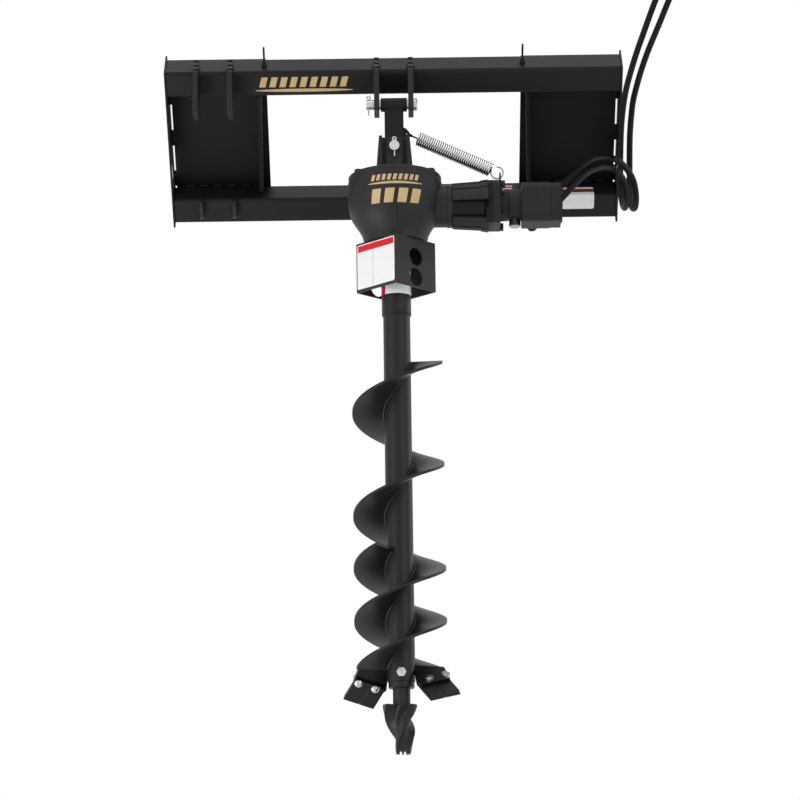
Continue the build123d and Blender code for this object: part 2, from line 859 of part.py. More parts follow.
def spring_anchor():
    """A plate on the motor's flange that the spring's large ring hooks into."""
    foot = -input_drop + nose_radius - anchor_foot
    strap_top = -input_drop + flange_side / 2 - 4
    side = flange_side / 2 - 6
    plate = block(flange_end, flange_end + anchor_thickness, -side, side, foot, strap_top)
    plate += block(
        flange_end, flange_end + anchor_thickness, -anchor_width / 2, anchor_width / 2,
        strap_top - 1, -input_drop + anchor_rise,
    )
    plate -= rod_x(nose_radius + 0.3, flange_end - 1, flange_end + anchor_thickness + 1, 0, -input_drop)
    plate -= block(flange_end - 1, flange_end + anchor_thickness + 1, -side, side, foot - 60, -input_drop + 30)
    for y0, z0 in flange_bolt_points():
        plate -= rod_x(flange_bolt_radius, flange_end - 1, flange_end + anchor_thickness + 1, y0, z0)
    plate -= rod_x(anchor_hole_radius, flange_end - 1, flange_end + anchor_thickness + 1, 0, anchor_hole_z())
    return plate


def anchor_hole_z():
    """Where the spring's large ring passes through the anchor plate."""
    centre = spring_end(spring_right, hook_ring_large)
    across = flange_end + anchor_thickness / 2 - centre[0]
    return centre[1] - swing_z - math.sqrt(hook_ring_large ** 2 - across ** 2)


def port_plug():
    top = -input_drop - nose_radius
    plug = rod_z(plug_radius, top - plug_drop, top + 10, plug_x)
    plug = fillet(plug.edges().group_by(Axis.Z)[0], 5)
    return plug - rod_x(nose_radius, flange_end, port_start, 0, -input_drop)


def elbow(z0):
    """A hose fitting screwed into the back of the motor and turned towards its end."""
    start = motor_side / 2
    out = start + fitting_reach
    base = Rot(-90, 0, 0) * hexagon(fitting_radius * 2, 12)
    piece = Pos(port_x, start, z0) * base
    piece += rod_y(fitting_radius * 0.8, start + 10, out, port_x, z0)
    piece += Pos(port_x, out, z0) * Sphere(fitting_radius * 0.8)
    return piece


def hose_fittings():
    """Two elbows, each ending in the crimped sleeve that the hose comes out of."""
    group = None
    for route, drop in ((pressure_route, upper_port_z), (return_route, lower_port_z)):
        corner = Vector(port_x, hitch_y + motor_side / 2 + fitting_reach, input_z + drop)
        start = Vector(*route[0])
        aim = (Vector(*route[1]) - start).normalized()
        back = start - aim * sleeve_length
        piece = hung(elbow(drop - input_drop))
        piece += tube_between(corner, back, fitting_radius * 0.8)
        piece += tube_between(back, start, hose_radius + 3.0)
        piece += Pos(back.X, back.Y, back.Z) * Sphere(fitting_radius * 0.8)
        group = piece if group is None else group + piece
    return group


def tube_between(start, end, radius):
    line = end - start
    place = Plane(origin=start, z_dir=line.normalized())
    return place * Pos(0, 0, line.length / 2) * Cylinder(radius, line.length)


def guard():
    """A square sheet box round the drive hub, open at its foot."""
    top = -bowl_bottom
    foot = top - guard_height
    inner = guard_side - 2 * guard_sheet
    box = Pos(0, 0, (top + foot) / 2) * Box(guard_side, guard_side, guard_height)
    box -= Pos(0, 0, (top + foot) / 2 - guard_sheet) * Box(inner, inner, guard_height)
    box = fillet(box.edges().filter_by(Axis.Z), 2)
    for index in range(2):
        box -= rod_y(guard_hole_radius, -guard_side, guard_side, 0, -(guard_hole_first + index * guard_hole_pitch))
    box = Rot(0, 0, 45) * box
    box -= rod_z(guard_throat, top - guard_sheet - 1, top + 1)
    for x0, y0 in circle_points(guard_bolt_circle, 4, 0):
        box -= rod_z(guard_bolt_radius, top - guard_sheet - 1, top + 1, x0, y0)
    return box


def guard_bolts():
    group = None
    top = -bowl_bottom
    for x0, y0 in circle_points(guard_bolt_circle, 4, 0):
        bolt = Pos(x0, y0, top - guard_sheet - guard_bolt_head) * hexagon(guard_bolt_flats, guard_bolt_head)
        bolt += rod_z(guard_bolt_radius, top - guard_sheet, top + guard_bolt_length - guard_sheet, x0, y0)
        group = bolt if group is None else group + bolt
    return group


def gearbox_group():
    keep("gearbox_housing", hung(gearbox_housing()))
    keep("gearbox_cover", hung(gearbox_cover()))
    keep("cover_bolts", hung(cover_bolts()))
    keep("swing_pin", hung(swing_pin()))
    keep("swing_pin_cotter", hung(Pos(0, swing_cotter_y(), 0) * cotter(cotter_up, cotter_down)))
    keep("output_bearings", hung(output_bearings()))
    keep("pinion_bearings", hung(pinion_bearings()))
    seal_top = -bowl_bottom + seal_length
    seal = ring_z(output_bearing_radius, output_shaft_radius + running_gap, -bowl_bottom, seal_top)
    keep("output_seal", hung(seal))
    seal_start = neck_end - input_seal_length
    seal = ring_x(pinion_bearing_radius, pinion_shaft_radius + running_gap, seal_start, neck_end)
    keep("input_seal", hung(seal))
    keep("motor_adaptor", hung(motor_adaptor()))
    keep("motor_front_housing", hung(motor_front_housing()))
    keep("motor_gear_ring", hung(motor_section(motor_side, ring_start, cap_start)))
    keep("motor_end_cap", hung(motor_section(cap_side, cap_start, motor_end)))
    keep("motor_bolts", hung(motor_bolts()))
    keep("spring_anchor", hung(spring_anchor()))
    keep("port_plug", hung(port_plug()))
    keep("hose_fittings", hose_fittings())
    keep("guard", hung(guard()))
    keep("guard_bolts", hung(guard_bolts()))
    keep("tension_spring", tension_spring())


def cone_distance():
    return gear_module * math.hypot(crown_teeth, pinion_teeth) / 2


def bevel_tooth(generator, outward, sideways):
    """One straight tooth that narrows towards the point where both gear axes cross."""
    tip = gear_module * addendum_share
    root = -gear_module * (dedendum_share + 0.2)
    half = math.pi * gear_module * tooth_share / 2
    slope = math.tan(math.radians(pressure_angle))
    corners = [(root, half - slope * root), (tip, half - slope * tip)]
    corners += [(tip, -(half - slope * tip)), (root, -(half - slope * root))]
    outer = cone_distance()
    faces = []
    for distance in (outer, outer - face_width):
        share = distance / outer
        points = [generator * distance + outward * (up * share) + sideways * (across * share) for up, across in corners]
        faces.append(make_face(Polyline([tuple(point) for point in points], close=True)))
    return loft(faces, ruled=True)


def root_point(half_angle, distance):
    """Radius and distance along the axis of the tooth root cone."""
    share = distance / cone_distance()
    drop = gear_module * dedendum_share * share
    return (
        distance * math.sin(half_angle) - drop * math.cos(half_angle),
        distance * math.cos(half_angle) + drop * math.sin(half_angle),
    )


def crown_gear():
    """The large bevel gear on the output shaft, its teeth facing up."""
    half_angle = math.atan2(crown_teeth, pinion_teeth)
    outer = cone_distance()
    r_out, z_out = root_point(half_angle, outer)
    r_in, z_in = root_point(half_angle, outer - face_width)
    bore = output_shaft_radius + 0.02
    blank = turned([
        (bore, -z_in - 4), (r_in - 5, -z_in - 4), (r_in, -z_in), (r_out, -z_out), (r_out, -z_out - crown_depth),
        (crown_hub_radius, -z_out - crown_depth), (crown_hub_radius, -(bowl_bottom - bowl_floor - input_drop) + 3),
        (bore, -(bowl_bottom - bowl_floor - input_drop) + 3),
    ])
    for index in range(crown_teeth):
        angle = 2 * math.pi * (index + 0.5) / crown_teeth
        flat = Vector(math.cos(angle), math.sin(angle), 0)
        generator = flat * math.sin(half_angle) - Vector(0, 0, math.cos(half_angle))
        outward = flat * math.cos(half_angle) + Vector(0, 0, math.sin(half_angle))
        blank += bevel_tooth(generator, outward, Vector(-math.sin(angle), math.cos(angle), 0))
    return Pos(0, 0, -input_drop) * blank


def pinion_shaft():
    """The small bevel gear and its shaft in one forging."""
    half_angle = math.atan2(pinion_teeth, crown_teeth)
    outer = cone_distance()
    r_out, x_out = root_point(half_angle, outer)
    r_in, x_in = root_point(half_angle, outer - face_width)
    shoulder = pinion_bearing_start - 0.5
    blank = turned_x([
        (x_in, 0), (x_in, r_in), (x_out, r_out), (shoulder, r_out), (shoulder, pinion_shaft_radius),
        (pinion_shaft_end, pinion_shaft_radius), (pinion_shaft_end, 0),
    ])
    for index in range(pinion_teeth):
        angle = 2 * math.pi * index / pinion_teeth
        flat = Vector(0, math.sin(angle), -math.cos(angle))
        generator = flat * math.sin(half_angle) + Vector(math.cos(half_angle), 0, 0)
        outward = flat * math.cos(half_angle) - Vector(math.sin(half_angle), 0, 0)
        blank += bevel_tooth(generator, outward, Vector(0, math.cos(angle), math.sin(angle)))
    return Pos(0, 0, -input_drop) * blank


def shaft_coupling():
    sleeve = ring_x(coupling_radius, pinion_shaft_radius + 0.02, coupling_start, pinion_shaft_end + 1)
    return sleeve + ring_x(coupling_radius, motor_shaft_radius + 0.02, pinion_shaft_end + 1, coupling_end)


def input_group():
    keep("pinion_shaft", hung(pinion_shaft()))
    keep("shaft_coupling", hung(shaft_coupling()))
    keep("motor_shaft", hung(rod_x(motor_shaft_radius, motor_shaft_start, motor_shaft_end, 0, -input_drop)))


def drive_hub():
    """The auger's socket for the output shaft, with two drive bolts through it."""
    hub = ring_z(hub_radius, output_shaft_radius + 0.02, -hub_bottom, -hub_top)
    groove = ring_z(hub_radius + 1, hub_radius - 0.9, -hub_groove - 1, -hub_groove + 1)
    return hub - groove - hub_bolt_holes()


def hub_bolt_holes():
    holes = None
    for index in range(2):
        hole = rod_y(hub_bolt_radius, -60, 60, 0, -(guard_hole_first + index * guard_hole_pitch))
        hole = Rot(0, 0, 45) * hole
        holes = hole if holes is None else holes + hole
    return holes


def hub_bolts():
    group = None
    for index in range(2):
        bolt = rod_y(hub_bolt_radius, -hub_radius - 6, hub_radius)
        for sign in (-1, 1):
            head = Rot(-90 * sign, 0, 0) * hexagon(hub_bolt_flats, hub_bolt_head)
            bolt += Pos(0, sign * hub_radius, 0) * head
        bolt = Pos(0, 0, -(guard_hole_first + index * guard_hole_pitch)) * Rot(0, 0, 45) * bolt
        group = bolt if group is None else group + bolt
    return group


def output_shaft():
    shaft = rod_z(output_shaft_radius, -output_shaft_end, -output_shaft_top)
    return shaft - hub_bolt_holes()


def auger_tube():
    tube = ring_z(tube_radius, tube_bore, -tube_end, -hub_bottom)
    return tube - rod_y(bit_bolt_radius, -60, 60, 0, -bit_bolt_drop)


def bit_socket():
    socket = rod_z(tube_bore - 0.02, -tube_end, -socket_top) + rod_z(socket_lip_radius, -socket_end, -tube_end)
    socket -= rod_z(socket_bore, -socket_end - 1, -socket_top + 1)
    return socket - rod_y(bit_bolt_radius, -60, 60, 0, -bit_bolt_drop)


def flight(start_drop, start_angle, turns):
    """A right-handed helical flight, drawn from its foot up to its start."""
    height = turns * flight_pitch
    inner = tube_radius + flight_seat
    middle = (inner + flight_radius) / 2
    path = Helix(flight_pitch, height, middle)
    section = Plane.XZ * Pos(middle, 0) * Rectangle(flight_radius - inner, flight_thickness)
    solid = sweep(section, path=path, is_frenet=True)
    foot_angle = start_angle - 360 * turns
    return Pos(0, 0, -start_drop - height) * Rot(0, 0, foot_angle) * solid


def blade_plane():
    """Origin at the blade's outer top corner, X inward along its top edge, Y down, Z out of its upper face."""
    turn = math.radians(blade_turn)
    slope = math.radians(blade_slope)
    pitch = math.radians(blade_pitch)
    outward = Vector(math.cos(turn), math.sin(turn), 0)
    ahead = Vector(math.sin(turn), -math.cos(turn), 0)
    inward = outward * -math.cos(slope) + Vector(0, 0, -math.sin(slope))
    steep = outward * math.sin(slope) + Vector(0, 0, -math.cos(slope))
    down = steep * math.cos(pitch) + ahead * math.sin(pitch)
    upper = inward.cross(down)
    return Plane(origin=(blade_x, blade_y, -blade_drop), x_dir=inward, z_dir=upper)


def blade_bolt_spots():
    return [(blade_bolt_first + index * blade_bolt_pitch, blade_bolt_in) for index in range(2)]


def blade_plate():
    """The cutting blade, its lower edge sharpened from above, with a shallow channel down each face."""
    plate = block(0, blade_width, 0, blade_length, -blade_thickness, 0)
    edge = plate.edges().filter_by(Axis.X).group_by(Axis.Y)[-1].sort_by(Axis.Z)[-1]
    plate = chamfer(edge, blade_thickness - 3, 9)
    left = (blade_width - blade_groove_width) / 2
    for low, high in ((-blade_groove_depth, 1), (-blade_thickness - 1, blade_groove_depth - blade_thickness)):
        plate -= block(left, left + blade_groove_width, bracket_lap, blade_length + 1, low, high)
    return plate - blade_bolt_holes()


def blade_bracket():
    """The plate on the blade's upper face that ties it to the flight's end and to the tube."""
    inner = blade_width + bracket_past
    outline = Polyline([
        (-bracket_outer_lean / 2, -bracket_outer_rise), (inner - bracket_inner_lean, -bracket_inner_rise),
        (inner, bracket_lap), (bracket_outer_lean / 2, bracket_lap),
    ], close=True)
    plate = extrude(make_face(outline), bracket_thickness)
    inner_corner = plate.edges().filter_by(Axis.Z).group_by(Axis.X)[-1].sort_by(Axis.Y)[-1]
    plate = fillet([inner_corner], bracket_corner)
    return plate - blade_bolt_holes()


def blade_bolt_holes():
    holes = None
    for x0, y0 in blade_bolt_spots():
        hole = rod_z(blade_bolt_radius, -30, 30, x0, y0)
        holes = hole if holes is None else holes + hole
    return holes


def blade_bolt_pair():
    """Domed heads below the blade, and nuts on top of the bracket."""
    pair = None
    for x0, y0 in blade_bolt_spots():
        bolt = rod_z(blade_bolt_radius, -blade_thickness, bracket_thickness + blade_bolt_head + 2, x0, y0)
        bolt += Pos(x0, y0, bracket_thickness) * hexagon(blade_bolt_flats, blade_bolt_head)
        dome = Sphere(blade_dome_radius) & block(-15, 15, -15, 15, -15, -blade_dome_sink)
        bolt += Pos(x0, y0, -blade_thickness + blade_dome_sink) * dome
        pair = bolt if pair is None else pair + bolt
    return pair


def half_turn(shape):
    return Rot(0, 0, 180) * shape


def pilot_bit():
    """A tapering point with two lands twisted round a core, on a round shank, with a notched tip."""
    shank = rod_z(bit_shank_radius, -bit_top, -bit_shank_top)
    shank -= rod_y(bit_bolt_radius, -60, 60, 0, -bit_bolt_drop)
    sections = [bit_section(index / bit_steps) for index in range(bit_steps + 1)]
    bit = shank + loft(sections, ruled=True)
    for centre in (bit_notch_left, bit_notch_right):
        half = bit_notch_width / 2
        bit -= block(centre - half, centre + half, -60, 60, -bit_tip - 1, -bit_tip + bit_notch_depth)
    return bit


def bit_section(share):
    """The point's section at a share of its length, turned on by the twist down to there."""
    turn = bit_twist * share
    wide = taper(share, bit_wide_top, bit_wide_waist, bit_wide_tip)
    lead = taper(share, bit_narrow_top, bit_lead_waist, bit_narrow_tip)
    trail = taper(share, bit_narrow_top, bit_trail_waist, bit_narrow_tip)
    core = taper(share, bit_shank_radius - 0.6, bit_core_waist, bit_core_tip)
    wide_end = bit_wide_start + bit_wide_span
    narrow_end = bit_narrow_start + bit_narrow_span
    corners = [(bit_wide_start + bit_wide_span * step / 5, wide * (0.93 + 0.014 * step)) for step in range(6)]
    front_flute = (bit_narrow_start + 360 - wide_end) / 3
    corners += [(wide_end + front_flute * step, core) for step in (1, 2)]
    corners += [(bit_narrow_start, lead), (bit_narrow_start + 12, lead * bit_groove_share)]
    for step in (1, 2, 3):
        corners.append((bit_narrow_start + 12 + (bit_narrow_span - 12) * step / 3, lead + (trail - lead) * step / 3))
    back_flute = (bit_wide_start - narrow_end) / 4
    corners += [(narrow_end + back_flute * step, core) for step in (1, 2, 3)]
    points = []
    for angle, length in corners:
        around = math.radians(angle - turn)
        points.append((length * math.cos(around), length * math.sin(around)))
    drop = bit_top + (bit_tip - bit_top) * share
    return Pos(0, 0, -drop) * make_face(Polyline(points, close=True))


def taper(share, start, middle, end):
    if share < 0.5:
        return start + (middle - start) * share / 0.5
    return middle + (end - middle) * (share - 0.5) / 0.5


def bit_bolt():
    bolt = rod_y(bit_bolt_radius, -tube_radius - 1, tube_radius + 8, 0, -bit_bolt_drop)
    head = Pos(0, -tube_radius, -bit_bolt_drop) * Rot(90, 0, 0) * hexagon(bit_bolt_flats, bit_bolt_head)
    nut = Pos(0, tube_radius, -bit_bolt_drop) * Rot(-90, 0, 0) * hexagon(bit_bolt_flats, bit_bolt_head)
    return bolt + head + nut


def auger_group():
    keep("crown_gear", hung(crown_gear()))
    keep("output_shaft", hung(output_shaft()))
    keep("drive_hub", hung(drive_hub()))
    keep("hub_bolts", hung(hub_bolts()))
    keep("auger_tube", hung(auger_tube()))
    keep("bit_socket", hung(bit_socket()))
    bracket = blade_plane() * blade_bracket() - rod_z(tube_radius + flight_seat, -tube_end - 200, -hub_bottom)
    brackets = bracket + half_turn(bracket)
    keep("tooth_brackets", hung(brackets))
    bolts = blade_plane() * blade_bolt_pair()
    bolts = bolts + half_turn(bolts)
    blade = blade_plane() * blade_plate()
    clear = brackets + bolts
    keep("main_flight", hung(flight(main_start_drop, main_start_angle, main_turns) - clear))
    keep("second_flight", hung(flight(second_start_drop, second_start_angle, second_turns) - clear))
    keep("right_blade", hung(blade))
    keep("left_blade", hung(half_turn(blade)))
    keep("blade_bolts", hung(bolts))
    keep("pilot_bit", hung(pilot_bit()))
    keep("bit_bolt", hung(bit_bolt()))


def bend_radii(points):
    """Each corner's arc takes a fixed share of the shorter run beside it."""
    radii = []
    for before, here, after in zip(points, points[1:], points[2:]):
        first = Vector(*here) - Vector(*before)
        second = Vector(*after) - Vector(*here)
        turn = math.radians(first.get_angle(second))
        shorter = min(first.length, second.length)
        radii.append(hose_bend_share * shorter / math.tan(turn / 2))
    return radii


def hose(points):
    """A hose as straight runs joined by tangent arcs."""
    path = FilletPolyline(points, radius=bend_radii(points))
    start = Plane(origin=points[0], z_dir=(Vector(*points[1]) - Vector(*points[0])))
    return sweep(start * Circle(hose_radius), path=path), path


def hose_coupler(points):
    """A quick coupler on the hose's upper end, past a short crimped sleeve."""
    end = Vector(*points[-1])
    aim = (end - Vector(*points[-2])).normalized()
    tip = end + aim * coupler_length
    piece = tube_between(end, tip, coupler_radius)
    return piece + tube_between(tip, tip + aim * coupler_tip_length, coupler_tip_radius)


def hose_group():
    couplers = None
    for name, route in (("pressure_hose", pressure_route), ("return_hose", return_route)):
        tube, path = hose(route)
        keep(name, tube)
        radii = bend_radii(route)
        ideal = math.pi * hose_radius ** 2 * path.length
        print(name, "length", round(path.length, 1), "volume over section x length", round(tube.volume / ideal, 4))
        print("radii", [round(radius) for radius in radii])
        coupler = hose_coupler(route)
        couplers = coupler if couplers is None else couplers + coupler
    keep("hose_couplers", couplers)


frame_group()
link_group()
gearbox_group()
input_group()
auger_group()
hose_group()
print("nodes", len(finished), "hitch pin", round(hitch_y, 2), round(hitch_z, 2), "swing pin", round(swing_z, 2))
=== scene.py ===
# %% [markdown]
# # A hydraulic post hole digger
# The digger hangs from a leaning hitch frame: two square beams and two plates that a loader picks
# up. A link swings on the upper beam, a cast gearbox with its motor swings on the link, and the
# auger turns below it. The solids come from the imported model, and this lesson dresses them. It
# winds the spring, lays the hoses, adds ribs, welds and panels, and writes each surface's finish.

# %% The frame and the tools
import math

import bpy
import numpy as np
from mathutils import Matrix, Vector


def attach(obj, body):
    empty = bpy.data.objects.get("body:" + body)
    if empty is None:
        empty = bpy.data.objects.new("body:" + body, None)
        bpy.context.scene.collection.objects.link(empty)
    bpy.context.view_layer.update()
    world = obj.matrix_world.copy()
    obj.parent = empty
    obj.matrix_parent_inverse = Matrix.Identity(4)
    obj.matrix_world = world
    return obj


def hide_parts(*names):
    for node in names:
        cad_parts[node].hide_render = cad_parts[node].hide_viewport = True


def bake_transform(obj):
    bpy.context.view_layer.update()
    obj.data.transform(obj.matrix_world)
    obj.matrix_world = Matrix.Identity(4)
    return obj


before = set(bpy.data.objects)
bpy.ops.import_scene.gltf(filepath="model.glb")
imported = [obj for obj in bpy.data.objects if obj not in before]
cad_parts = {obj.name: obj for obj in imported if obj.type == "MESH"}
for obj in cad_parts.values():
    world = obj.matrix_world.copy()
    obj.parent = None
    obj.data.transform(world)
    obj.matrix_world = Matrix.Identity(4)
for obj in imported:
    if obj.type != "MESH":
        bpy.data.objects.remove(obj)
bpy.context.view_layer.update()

# %% [markdown]
# ## Where things are
# The part's own sizes are repeated here in metres, so that each new piece sits on what carries it.
# The frame leans by 49.5 degrees, so `leant` turns a point of the upright frame to its place. The
# drive hangs plumb, and `hung` counts down from the pin that it swings on.

# %% Places
LEAN = math.radians(49.5)
HITCH = np.array([0.0, -0.21971, -0.00303])
SWING = np.array([0.0, -0.21971, -0.12663])
FRAME_HEIGHT = 0.4572
BEAM_FRONT = -0.0815
BEAM = 0.072
BEAM_CORNER = 0.010
LOWER_BEAM_FOOT = 0.0042
LOWER_BEAM_TOP = FRAME_HEIGHT - LOWER_BEAM_FOOT - BEAM
RIGHT = np.array([1.0, 0.0, 0.0])
BACK = np.array([0.0, 1.0, 0.0])
UP = np.array([0.0, 0.0, 1.0])
FRAME_BACK = np.array([0.0, math.cos(LEAN), math.sin(LEAN)])
FRAME_UP = np.array([0.0, -math.sin(LEAN), math.cos(LEAN)])


def leant(x, back, down):
    """A point of the frame, `back` from its plates' rear face and `down` from its top edge."""
    x, back, down = np.broadcast_arrays(x, back, down)
    up = FRAME_HEIGHT / 2 - down
    return x[..., None] * RIGHT + back[..., None] * FRAME_BACK + up[..., None] * FRAME_UP


def hung(x, y, drop):
    """A point of the hanging drive, `drop` below the swing pin's axis."""
    x, y, drop = np.broadcast_arrays(x, y, drop)
    return np.stack([x, HITCH[1] + y, SWING[2] - drop], -1)


# %% [markdown]
# ## The camera
# The photograph looks up at the digger from about 7.5 m away and a little below. A long lens keeps
# the beams almost parallel. The camera comes first, because the hoses are judged by what it sees.

# %% Camera
CAMERA_PLACE = (0.0056, -7.4498, -2.5036)
CAMERA_TILT = math.radians(90 + 13.46)
CAMERA_ROLL = math.radians(-0.77)
camera_data = bpy.data.cameras.new("photo_camera")
camera_data.lens = 135
camera_data.sensor_width = 36
camera_data.clip_end = 60
camera = bpy.data.objects.new("photo_camera", camera_data)
bpy.context.scene.collection.objects.link(camera)
camera_turn = Matrix.Rotation(CAMERA_TILT, 4, "X") @ Matrix.Rotation(CAMERA_ROLL, 4, "Z")
camera.matrix_world = Matrix.Translation(CAMERA_PLACE) @ camera_turn
bpy.context.scene.camera = camera
print("camera", [round(c, 3) for c in camera.location])

# %% [markdown]
# ## Surfaces from arrays
# Every new piece is a grid of points, `points[i, j]`: i runs along the piece and j goes round it.
# Working out the whole grid at once with numpy is quick, and the formula stays readable.

# %% Surface helpers
SMOOTH_ANGLE = math.radians(38)


def grid_faces(rows, columns, ring, start, loop=False):
    """Quads between a grid's neighbours. A loop's last row joins its first."""
    row_steps = np.arange(rows if loop else rows - 1)
    column_steps = np.arange(columns if ring else columns - 1)
    i, j = np.meshgrid(row_steps, column_steps, indexing="ij")
    right = (j + 1) % columns
    row, next_row = i * columns, (i + 1) % rows * columns
    corners = np.stack([row + j, row + right, next_row + right, next_row + j], -1)
    return corners.reshape(-1, 4) + start


def mesh_piece(name, grids, body=None, ring=True, loop=False, smooth=True,
               finish=None):
    """One object from several grids. A ring grid that isn't a loop gets a flat face at each end."""
    points, loops, sizes, start = [], [], [], 0
    for grid in grids:
        rows, columns = grid.shape[:2]
        points.append(grid.reshape(-1, 3))
        quads = grid_faces(rows, columns, ring, start, loop)
        loops.append(quads.ravel())
        sizes.append(np.full(len(quads), 4))
        if ring and not loop:
            first = start + np.arange(columns)[::-1]
            last = start + (rows - 1) * columns + np.arange(columns)
            loops += [first, last]
            sizes.append(np.array([columns, columns]))
        start += rows * columns
    points, loops, sizes = (np.concatenate(part) for part in (points, loops, sizes))
    mesh = bpy.data.meshes.new(name)
    mesh.vertices.add(len(points))
    mesh.vertices.foreach_set("co", points.astype(np.float32).ravel())
    mesh.loops.add(len(loops))
    mesh.loops.foreach_set("vertex_index", loops.astype(np.int32))
    mesh.polygons.add(len(sizes))
    mesh.polygons.foreach_set("loop_start", (np.cumsum(sizes) - sizes).astype(np.int32))
    mesh.update(calc_edges=True)
    mesh.validate()
    mesh.polygons.foreach_set("use_smooth", np.full(len(mesh.polygons), smooth))
    if smooth:
        mesh.set_sharp_from_angle(angle=SMOOTH_ANGLE)
    if finish:
        mesh.materials.append(finish)
    piece = bpy.data.objects.new(name, mesh)
    bpy.context.scene.collection.objects.link(piece)
    if body:
        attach(piece, body)
    return piece


def unit(vectors):
    vectors = np.asarray(vectors, float)
    return vectors / np.linalg.norm(vectors, axis=-1, keepdims=True)


def across(direction):
    """Two directions at right angles to `direction` and to each other, right-handed with it."""
    direction = unit(direction)
    guide = UP if abs(direction[2]) < 0.9 else RIGHT
    first = unit(np.cross(guide, direction))
    return first, np.cross(direction, first)


def circle(u, v, sides):
    """cos a·u + sin a·v, for `sides` angles a round a full turn."""
    angle = np.linspace(0, 2 * math.pi, sides, endpoint=False)[:, None]
    return np.cos(angle) * u + np.sin(angle) * v


def turned(profile, centre, axis, sides):
    """Pairs (r, h) carried round an axis: centre + h·axis + r·(cos a·u + sin a·v)."""
    profile = np.asarray(profile, float)[..., None, None]
    radius, height = profile[:, 0], profile[:, 1]
    return centre + height * axis + radius * circle(*across(axis), sides)


def tube(path, radius, sides, guide=RIGHT):
    """p + r·(cos a·u + sin a·v) along a path, where u = tangent × guide and v = tangent × u."""
    tangent = unit(np.gradient(path, axis=0))
    u = unit(np.cross(tangent, guide))
    v = np.cross(tangent, u)
    radius = np.broadcast_to(radius, (len(path),))[:, None, None]
    return path[:, None] + radius * circle(u[:, None], v[:, None], sides)


def lengths_along(points):
    """The length of the line up to each of its points."""
    return np.concatenate([[0], np.cumsum(np.linalg.norm(np.diff(points, axis=0), axis=1))])


def evenly(points, count):
    """The same line with `count` points at even steps along it, and the length up to each."""
    lengths = lengths_along(points)
    even = np.linspace(0, lengths[-1], count)
    return np.stack([np.interp(even, lengths, column) for column in points.T], -1), even


# %% [markdown]
# ## The hoses
# Two hydraulic hoses leave the motor, arch over the lower beam, go out through the end plate's
# window, turn up behind it and run to the loader. Each route is a smooth spline in open space.
# The motor swings with the gearbox and the window doesn't, so each hose is two lengths of tube: one
# by the motor and the other on to the loader.

# %% Hose routes
HOSE_RADIUS = 0.00825
PRESSURE_ROUTE = [
    (0.366, -0.137, -0.250), (0.403, -0.128, -0.214), (0.438, -0.117, -0.179),
    (0.468, -0.105, -0.148), (0.494, -0.088, -0.119), (0.520, -0.064, -0.100),
    (0.544, -0.034, -0.088), (0.566, -0.003, -0.081), (0.587, 0.029, -0.080),
    (0.607, 0.059, -0.090), (0.626, 0.089, -0.108), (0.635, 0.121, -0.132),
    (0.638, 0.154, -0.152), (0.637, 0.187, -0.161), (0.632, 0.219, -0.152),
    (0.631, 0.243, -0.126), (0.630, 0.255, -0.087), (0.631, 0.258, -0.048),
    (0.632, 0.256, -0.006), (0.633, 0.250, 0.035), (0.635, 0.244, 0.076),
    (0.639, 0.237, 0.115), (0.644, 0.231, 0.154), (0.654, 0.225, 0.191),
    (0.665, 0.221, 0.228), (0.678, 0.217, 0.265), (0.692, 0.214, 0.301),
    (0.708, 0.211, 0.337), (0.724, 0.208, 0.374), (0.740, 0.204, 0.412),
    (0.756, 0.200, 0.449),
]
RETURN_ROUTE = [
    (0.366, -0.137, -0.288), (0.397, -0.135, -0.257), (0.425, -0.130, -0.229),
    (0.452, -0.124, -0.197), (0.475, -0.112, -0.169), (0.498, -0.091, -0.146),
    (0.521, -0.063, -0.128), (0.543, -0.031, -0.114), (0.563, 0.003, -0.107),
    (0.582, 0.038, -0.105), (0.600, 0.072, -0.116), (0.610, 0.107, -0.134),
    (0.613, 0.143, -0.151), (0.612, 0.181, -0.159), (0.610, 0.219, -0.151),
    (0.607, 0.245, -0.124), (0.605, 0.253, -0.086), (0.605, 0.244, -0.048),
    (0.605, 0.228, -0.010), (0.606, 0.215, 0.027), (0.608, 0.208, 0.067),
    (0.612, 0.205, 0.106), (0.618, 0.205, 0.146), (0.626, 0.206, 0.185),
    (0.637, 0.208, 0.223), (0.649, 0.209, 0.262), (0.662, 0.209, 0.300),
    (0.676, 0.209, 0.337), (0.690, 0.207, 0.375), (0.704, 0.205, 0.412),
    (0.719, 0.200, 0.449),
]


def spline_points(route):
    """The points that Blender gives along a NURBS spline whose control points are the route."""
    curve = bpy.data.curves.new("route", "CURVE")
    curve.dimensions = "3D"
    curve.resolution_u = 10
    spline = curve.splines.new("NURBS")
    spline.points.add(len(route) - 1)
    spline.points.foreach_set("co", np.c_[np.array(route), np.ones(len(route))].ravel())
    spline.order_u = 3
    spline.use_endpoint_u = True
    holder = bpy.data.objects.new("route", curve)
    line = bpy.data.meshes.new_from_object(holder)
    points = np.zeros(len(line.vertices) * 3)
    line.vertices.foreach_get("co", points)
    bpy.data.objects.remove(holder)
    bpy.data.curves.remove(curve)
    bpy.data.meshes.remove(line)
    return points.reshape(-1, 3)


def line_length(points):
    return float(lengths_along(points)[-1])


# %% [markdown]
# The hose's cover is wrapped rubber. The wrap is a faint helical ridge, so the tube carries a UV
# map: u goes once round, and v counts the length in metres. Beyond the last side u would fall back
# to 0, so the right corners of that side take 1.

# %% Hose tubes
HOSE_SPLIT_X = 0.485
HOSE_SIDES = 24


